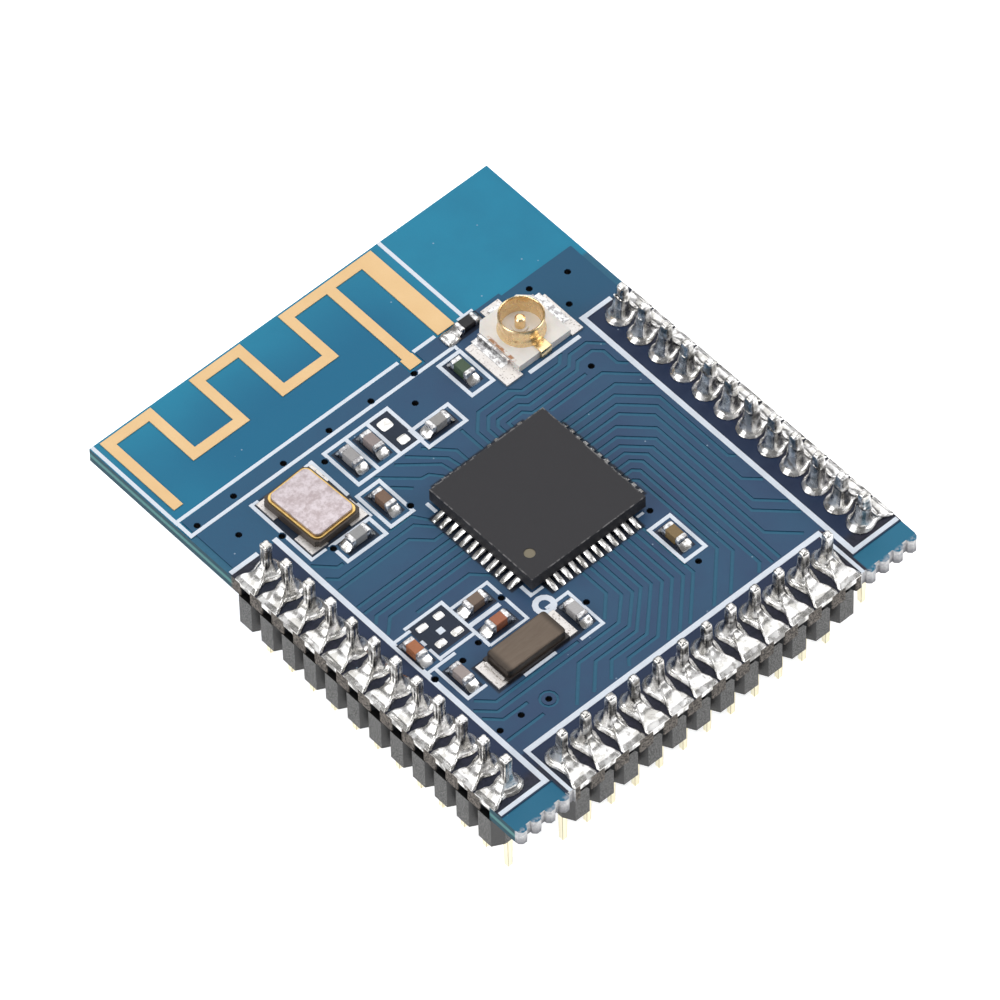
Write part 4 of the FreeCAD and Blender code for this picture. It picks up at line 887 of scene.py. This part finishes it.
class ModuleStage(bpy.types.PropertyGroup):
    """Camera and light"""

    lens: bpy.props.FloatProperty(
        name="Lens", description="Focal length", unit="CAMERA", default=394.13)
    sky: bpy.props.FloatProperty(
        name="Sky", description="Strength of the surrounding light", default=0.28, min=0.0)
    key: bpy.props.FloatProperty(
        name="Lights", description="Strength of the soft boxes", default=1.0, min=0.0)


class MODULE_OT_board(bpy.types.Operator):
    """Finishes the board, its printed antenna and its print, and domes the bare pads"""

    bl_idname = "module.board"
    bl_label = "Board"

    # The bare pads as x, d, width and length, in mm
    PADS = ((-1.20, 7.05, 0.60, 0.55), (-1.14, 8.08, 0.50, 0.45), (-6.75, 15.45, 0.55, 0.32),
            (-5.88, 15.45, 0.45, 0.35), (-6.70, 16.50, 0.50, 0.35), (-5.85, 16.50, 0.55, 0.35))
    PAD_HEIGHT = 0.058

    def execute(self, context):
        dress("circuit_board", "board")
        dress("antenna_trace", "antenna")
        dress("silkscreen", "print")
        bm = bmesh.new()
        for number, pad in enumerate(self.PADS):
            self.dome(bm, number, *pad)
        add_piece("bare_pads", bm, finish("solder"), "empty_pads")
        return {"FINISHED"}

    def dome(self, bm, number, x, d, wide, long):
        """Tin on one pad: rounded corners and an uneven dome."""
        low = spot(x - wide / 2, d + long / 2)
        high = spot(x + wide / 2, d - long / 2, 0.06)
        for v in add_box(bm, low, high, cuts=5):
            a, b = within(v, low, high)
            round_off = max(0.0, abs(a) ** 4 + abs(b) ** 4 - 0.5)
            v.co.x -= (a * round_off * 0.12) * (high.x - low.x) / 2
            v.co.y -= (b * round_off * 0.12) * (high.y - low.y) / 2
            if v.co.z > TOP + 0.01 * MM:
                dome = 1 - 0.6 * max(abs(a), abs(b)) ** 3 + 0.15 * noise.noise(Vector((a, b, number)) * 1.7)
                v.co.z = TOP + self.PAD_HEIGHT * MM * min(1.0, dome)


class MODULE_OT_headers(bpy.types.Operator):
    """Finishes the moulded strips and makes their square pins"""

    bl_idname = "module.headers"
    bl_label = "Pin headers"

    HIDDEN_TOP = 0.3
    TIP_HEIGHT = 0.06
    TIP_TAPER = 0.58

    def execute(self, context):
        for name in ROWS:
            dress(name + "_header_housing", "plastic")
            row = Row(name)
            bm = bmesh.new()
            for i in range(PINS):
                self.pin(bm, row.point(i, 0, 0, 0))
            add_piece(name + "_pins", bm, finish("pin"), name + "_header_pins")
        return {"FINISHED"}

    def pin(self, bm, place):
        """A square pin from the floor up into its joint, pointed at its lower end."""
        half = PIN_SIDE * MM / 2
        low = Vector((place.x - half, place.y - half, 0.0))
        high = Vector((place.x + half, place.y + half, TOP + self.HIDDEN_TOP * MM))
        for v in add_box(bm, low, high, rounding=0.03 * MM):
            if v.co.z < self.TIP_HEIGHT * MM:
                v.co.x = place.x + (v.co.x - place.x) * self.TIP_TAPER
                v.co.y = place.y + (v.co.y - place.y) * self.TIP_TAPER


class MODULE_OT_solder(bpy.types.Operator):
    """Makes the lumpy solder joints of all the rows"""

    bl_idname = "module.solder"
    bl_label = "Pin solder"

    def execute(self, context):
        look = context.scene.module_solder
        for name in ROWS:
            row = Row(name)
            bm = bmesh.new()
            for i in range(PINS):
                Joint(row, i, look).add_to(bm)
                add_edge_fill(bm, row, i)
            add_piece(name + "_joints", bm, finish("solder"), name + "_pin_solder", angle=60)
        return {"FINISHED"}


class MODULE_OT_chip(bpy.types.Operator):
    """Finishes the radio chip and makes the fillet at each of its leads"""

    bl_idname = "module.chip"
    bl_label = "Radio chip"

    FILLET_LENGTH = 0.54
    FILLET_WIDTH = 0.24
    FILLET_HEIGHT = 0.21

    def execute(self, context):
        dress("chip_body", "chip")
        dress("chip_leads", "tin")
        low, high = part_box("chip_body")
        centre = (low + high) / 2
        half = (high.x - low.x) / 2
        bm = bmesh.new()
        for side in range(4):
            out = Vector((math.cos(side * math.pi / 2), math.sin(side * math.pi / 2), 0))
            across = Vector((-out.y, out.x, 0))
            for i in range(LEADS_PER_SIDE):
                along = (i * LEAD_PITCH - LEAD_ROW_HALF) * MM
                start = Vector((centre.x, centre.y, TOP)) + out * half + across * along
                wander = 0.09 * noise.noise(Vector((i * 1.9, side * 3.3, 4.0)))
                length = (self.FILLET_LENGTH + wander) * MM
                width = (self.FILLET_WIDTH + 0.3 * wander) * MM
                add_wedge(bm, start, out, across, length, width, self.FILLET_HEIGHT * MM, flare=0.05,
                          seed=i + side * LEADS_PER_SIDE, lift=0.62)
        add_piece("lead_fillets", bm, finish("solder"), "chip_solder", angle=60)
        return {"FINISHED"}


class MODULE_OT_crystals(bpy.types.Operator):
    """Finishes both crystals and makes their metal lids and the seal ring"""

    bl_idname = "module.crystals"
    bl_label = "Crystals"

    WELL_RIM = 0.2
    WELL_DEPTH = 0.05

    def execute(self, context):
        dress("crystal_base", "crystal_ceramic")
        dress("clock_crystal_base", "clock_ceramic")
        dress("crystal_solder", "pad")
        dress("clock_crystal_solder", "pad")
        self.cover("crystal_seal_ring", "crystal_gold", 0.02, 0.30, grow=0.09, turn=CRYSTAL_TURN)
        self.cover("crystal_lid", "crystal_lid", 0.03, 0.24, grow=0.13, turn=CRYSTAL_TURN)
        self.cover("clock_crystal_lid", "clock_lid", 0.07, 0.15)
        return {"FINISHED"}

    def cover(self, node, name, rim_radius, corner_radius, grow=0.0, turn=0.0):
        """A lid or ring with round corners and a soft rim, turned as its crystal lies, sizes in mm."""
        low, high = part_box(node)
        middle = (low + high) / 2
        bm = bmesh.new()
        half = self.own_size(high - low, turn) / 2 + Vector((grow * MM, grow * MM, 0))
        add_box(bm, middle - half, middle + half)
        uprights = [e for e in bm.edges if abs(e.verts[0].co.z - e.verts[1].co.z) > 1e-6]
        bevel(bm, uprights, corner_radius * MM, 6)
        rim = [e for e in bm.edges if min(v.co.z for v in e.verts) > high.z - 1e-7]
        bevel(bm, rim, rim_radius * MM, 4)
        if node == "crystal_seal_ring":
            top = max(bm.faces, key=lambda face: face.calc_center_median().z + face.calc_area())
            bmesh.ops.inset_region(bm, faces=[top], thickness=self.WELL_RIM * MM,
                                   depth=-self.WELL_DEPTH * MM)
        bmesh.ops.rotate(bm, cent=middle, matrix=Matrix.Rotation(turn, 3, "Z"), verts=bm.verts)
        add_piece(node + "_cover", bm, finish(name), node)

    def own_size(self, box, turn):
        """The size of a turned block from the size of the level box round it."""
        c = math.cos(turn)
        s = math.sin(turn)
        scale = c * c - s * s
        return Vector(((box.x * c - box.y * s) / scale, (box.y * c - box.x * s) / scale, box.z))


class MODULE_OT_socket(bpy.types.Operator):
    """Finishes the antenna socket and makes its ring with the tail"""

    bl_idname = "module.socket"
    bl_label = "Antenna socket"

    # The ring's wall as radius and height over its foot, in mm
    WALL = ((0.85, 0.0), (1.0, 0.0), (0.995, 0.05), (0.975, 0.10), (0.96, 0.15), (0.955, 0.24),
            (0.925, 0.30), (0.925, 0.42), (0.955, 0.50), (0.96, 0.80), (0.955, 0.865), (0.925, 0.89),
            (0.895, 0.88), (0.875, 0.85), (0.865, 0.78), (0.86, 0.30), (0.85, 0.05))
    FOOT_HEIGHT = 0.36
    TAIL_HALF_WIDTH = 0.28
    TAIL_START = 0.9

    def execute(self, context):
        dress("socket_base", "socket_plastic")
        dress("socket_ground_tabs", "tin")
        dress("socket_signal_tab", "tin")
        dress("socket_solder", "pad")
        dress("socket_contact", "socket_gold")
        low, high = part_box("socket_shell")
        base_low, base_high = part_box("socket_base")
        centre = Vector(((low.x + high.x) / 2, (base_low.y + base_high.y) / 2, 0))
        bm = bmesh.new()
        self.ring(bm, centre)
        self.tail(bm, centre, low.y)
        add_piece("socket_ring", bm, finish("socket_gold"), "socket_shell")
        return {"FINISHED"}

    def ring(self, bm, centre):
        """The thin grooved wall, spun round its axis."""
        foot = TOP + self.FOOT_HEIGHT * MM
        points = [bm.verts.new(centre + Vector((r * MM, 0, foot + h * MM))) for r, h in self.WALL]
        edges = [bm.edges.new((a, b)) for a, b in zip(points, points[1:] + points[:1])]
        bmesh.ops.spin(bm, geom=points + edges, cent=centre, axis=(0, 0, 1), angle=math.radians(360),
                       steps=64, use_merge=True)

    def tail(self, bm, centre, end):
        """The strap from the ring's foot over the base, and its leg down to the board."""
        foot = TOP + self.FOOT_HEIGHT * MM
        left = centre.x - self.TAIL_HALF_WIDTH * MM
        right = centre.x + self.TAIL_HALF_WIDTH * MM
        start = centre.y - self.TAIL_START * MM
        strap = (Vector((left, end, foot)), Vector((right, start, foot + 0.095 * MM)))
        leg = (Vector((left, end, TOP)), Vector((right, end + 0.11 * MM, foot + 0.09 * MM)))
        for low, high in (strap, leg):
            add_box(bm, low, high, rounding=0.03 * MM)


class MODULE_OT_parts(bpy.types.Operator):
    """Makes the small chip parts: rounded bodies, metal ends and uneven solder"""

    bl_idname = "module.parts"
    bl_label = "Chip parts"

    # Along a part from its middle, in mm: where its metal ends begin and stop, and where the solder begins
    END_INNER = 0.27
    END_OUTER = 0.5
    SOLDER_START = 0.47
    HALF_ACROSS = 0.25
    OVERLAP = 0.03
    SIDES = {"front": Vector((0, -1, 0)), "left": Vector((-1, 0, 0))}

    def execute(self, context):
        ends = bmesh.new()
        fillets = bmesh.new()
        for number, (node, (_, heavy)) in enumerate(CHIP_PARTS.items()):
            low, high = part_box(node)
            size = high - low
            along = Vector((1, 0, 0)) if size.x > size.y else Vector((0, 1, 0))
            self.block(node, low, high, along)
            for sign in (-1, 1):
                out = along * sign
                height = size.z + self.OVERLAP * MM
                self.metal_end(ends, (low + high) / 2, out, height)
                full = out.dot(self.SIDES[heavy]) > 0.5
                self.fillet(fillets, (low + high) / 2, out, height, full, number * 2.7 + sign)
        add_piece("part_ends", ends, finish("tin"), "end_caps")
        add_piece("part_fillets", fillets, finish("solder"), "end_cap_solder", angle=60)
        self.link_lump()
        return {"FINISHED"}

    def block(self, node, low, high, along):
        """The ceramic body, which runs a little way into its metal ends."""
        bm = bmesh.new()
        reach = along * (self.OVERLAP * MM)
        add_box(bm, low - reach, high + reach, rounding=0.035 * MM, segments=3)
        add_piece(node + "_block", bm, finish(node), node)

    def across(self, out):
        """The level direction across a part, without a sign."""
        return Vector((abs(out.y), abs(out.x), 0))

    def metal_end(self, bm, centre, out, height):
        half = self.across(out) * (self.HALF_ACROSS * MM)
        a = centre + out * (self.END_INNER * MM) - half
        b = centre + out * (self.END_OUTER * MM) + half
        low = Vector((min(a.x, b.x), min(a.y, b.y), TOP))
        high = Vector((max(a.x, b.x), max(a.y, b.y), TOP + height))
        add_box(bm, low, high, rounding=0.05 * MM, segments=3)

    def fillet(self, bm, centre, out, height, full, seed):
        """Solder at one end: longer, taller and fuller on the side that has the more of it."""
        start = Vector((centre.x, centre.y, TOP)) + out * (self.SOLDER_START * MM)
        tall, long, lift = (0.32, 0.34, 0.6) if full else (0.22, 0.27, 0.4)
        tall = min(tall, 0.75 * height / MM) * MM
        width = 0.52 * MM
        add_wedge(bm, start, out, self.across(out), long * MM, width, tall, flare=0.22, seed=seed, lift=lift)

    def link_lump(self):
        """The lump that joins the antenna's wide arm to the link resistor."""
        low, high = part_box("antenna_solder_joint")
        middle = (low + high) / 2
        bm = bmesh.new()
        for v in add_box(bm, low, high, cuts=7):
            a, b = within(v, low, high)
            swirl = noise.noise(Vector((a * 1.7, b * 1.7, 5.0)))
            shrink = min(1.0, 1 - 0.16 * max(0.0, a * a + b * b - 0.9) + 0.05 * swirl)
            v.co.x = middle.x + (v.co.x - middle.x) * shrink
            v.co.y = middle.y + (v.co.y - middle.y) * shrink
            if v.co.z > low.z + 0.02 * MM:
                dome = max(0.1, 1 - 0.75 * max(abs(a), abs(b)) ** 3) * (0.85 + 0.45 * swirl)
                v.co.z = low.z + (v.co.z - low.z) * min(1.0, dome)
        add_piece("link_lump", bm, finish("solder"), "antenna_solder_joint", angle=60)


class MODULE_OT_stage(bpy.types.Operator):
    """Sets the floor, the lights and the camera"""

    bl_idname = "module.stage"
    bl_label = "Stage"

    # The camera was fitted to the photo: its place in metres and its turn in degrees
    CAMERA_PLACE = (-0.168979, -0.195500, 0.348297)
    CAMERA_TURN = (36.93493, 0.92400, -42.03898)
    FLOOR_HALF = 1.2
    AIM = Vector((0, 0, 0.005))
    # Square soft boxes as place and side in metres, and brightness
    SOFT_BOXES = {
        "far_light": ((0.20, 0.23, 0.40), 0.46, 1.35),
        "left_light": ((-0.42, 0.10, 0.26), 0.32, 3.2),
        "right_light": ((0.34, -0.26, 0.30), 0.30, 2.8),
        "top_light": ((-0.06, 0.02, 0.55), 0.22, 4.4),
    }

    def execute(self, context):
        settings = context.scene.module_stage
        self.floor(context.scene)
        self.camera(context.scene, settings)
        self.sky(context.scene, settings)
        for name, box in self.SOFT_BOXES.items():
            self.soft_box(context.scene, settings, name, *box)
        context.scene.view_settings.view_transform = "Standard"
        return {"FINISHED"}

    def floor(self, scene):
        bm = bmesh.new()
        bmesh.ops.create_grid(bm, x_segments=2, y_segments=2, size=self.FLOOR_HALF)
        mesh = bpy.data.meshes.new("floor")
        bm.to_mesh(mesh)
        bm.free()
        floor = bpy.data.objects.new("floor", mesh)
        scene.collection.objects.link(floor)
        mesh.materials.append(finish("floor"))

    def camera(self, scene, settings):
        data = bpy.data.cameras.new("camera")
        data.lens = settings.lens
        data.sensor_width = 36.0
        data.clip_start = 0.01
        data.clip_end = 10.0
        camera = bpy.data.objects.new("camera", data)
        camera.location = self.CAMERA_PLACE
        camera.rotation_euler = [math.radians(a) for a in self.CAMERA_TURN]
        scene.collection.objects.link(camera)
        scene.camera = camera

    def sky(self, scene, settings):
        """Grey light from the horizon and below, white from overhead."""
        world = bpy.data.worlds.new("studio")
        world.use_nodes = True
        scene.world = world
        shader = Shader(world.node_tree)
        where = shader.node("ShaderNodeTexCoord", output="Generated")
        z = shader.parts(where)[2]
        upward = shader.node("ShaderNodeMapRange", {}, {"Value": z, "From Min": -1.0})
        stops = [(0.50, (0.6, 0.6, 0.62, 1)), (0.95, (1.0, 1.0, 1.0, 1))]
        ramp = shader.node("ShaderNodeValToRGB", {"stops": stops}, [upward])
        background = world.node_tree.nodes["Background"]
        shader.feed(background.inputs["Color"], ramp)
        shader.feed(background.inputs["Strength"], settings.sky)

    def soft_box(self, scene, settings, name, place, side, radiance):
        data = bpy.data.lights.new(name, "AREA")
        data.shape = "SQUARE"
        data.size = side
        data.energy = radiance * settings.key * math.pi * side * side
        light = bpy.data.objects.new(name, data)
        light.location = place
        light.rotation_euler = (self.AIM - Vector(place)).to_track_quat("-Z", "Y").to_euler()
        scene.collection.objects.link(light)


OPERATORS = (MODULE_OT_board, MODULE_OT_headers, MODULE_OT_solder, MODULE_OT_chip, MODULE_OT_crystals,
             MODULE_OT_socket, MODULE_OT_parts, MODULE_OT_stage)
GROUPS = {"module_board": ModuleBoard, "module_solder": ModuleSolder, "module_stage": ModuleStage}


class MODULE_PT_panel(bpy.types.Panel):
    """Lists the pieces and their settings"""

    bl_idname = "MODULE_PT_panel"
    bl_label = "Radio module"
    bl_space_type = "VIEW_3D"
    bl_region_type = "UI"
    bl_category = "Module"

    def draw(self, context):
        """The settings of each group in a box, then a button for each operator."""
        for name, group in GROUPS.items():
            box = self.layout.box()
            for key in group.__annotations__:
                box.prop(getattr(context.scene, name), key)
        for operator in OPERATORS:
            self.layout.operator(operator.bl_idname)


def register():
    for kind in (*GROUPS.values(), *OPERATORS, MODULE_PT_panel):
        bpy.utils.register_class(kind)
    for name, group in GROUPS.items():
        setattr(bpy.types.Scene, name, bpy.props.PointerProperty(type=group))


def unregister():
    for name in GROUPS:
        delattr(bpy.types.Scene, name)
    for kind in reversed((*GROUPS.values(), *OPERATORS, MODULE_PT_panel)):
        bpy.utils.unregister_class(kind)


def main():
    register()
    for operator in OPERATORS:
        group, name = operator.bl_idname.split(".")
        getattr(getattr(bpy.ops, group), name)()
    bpy.context.view_layer.update()


if __name__ == "__main__":
    main()
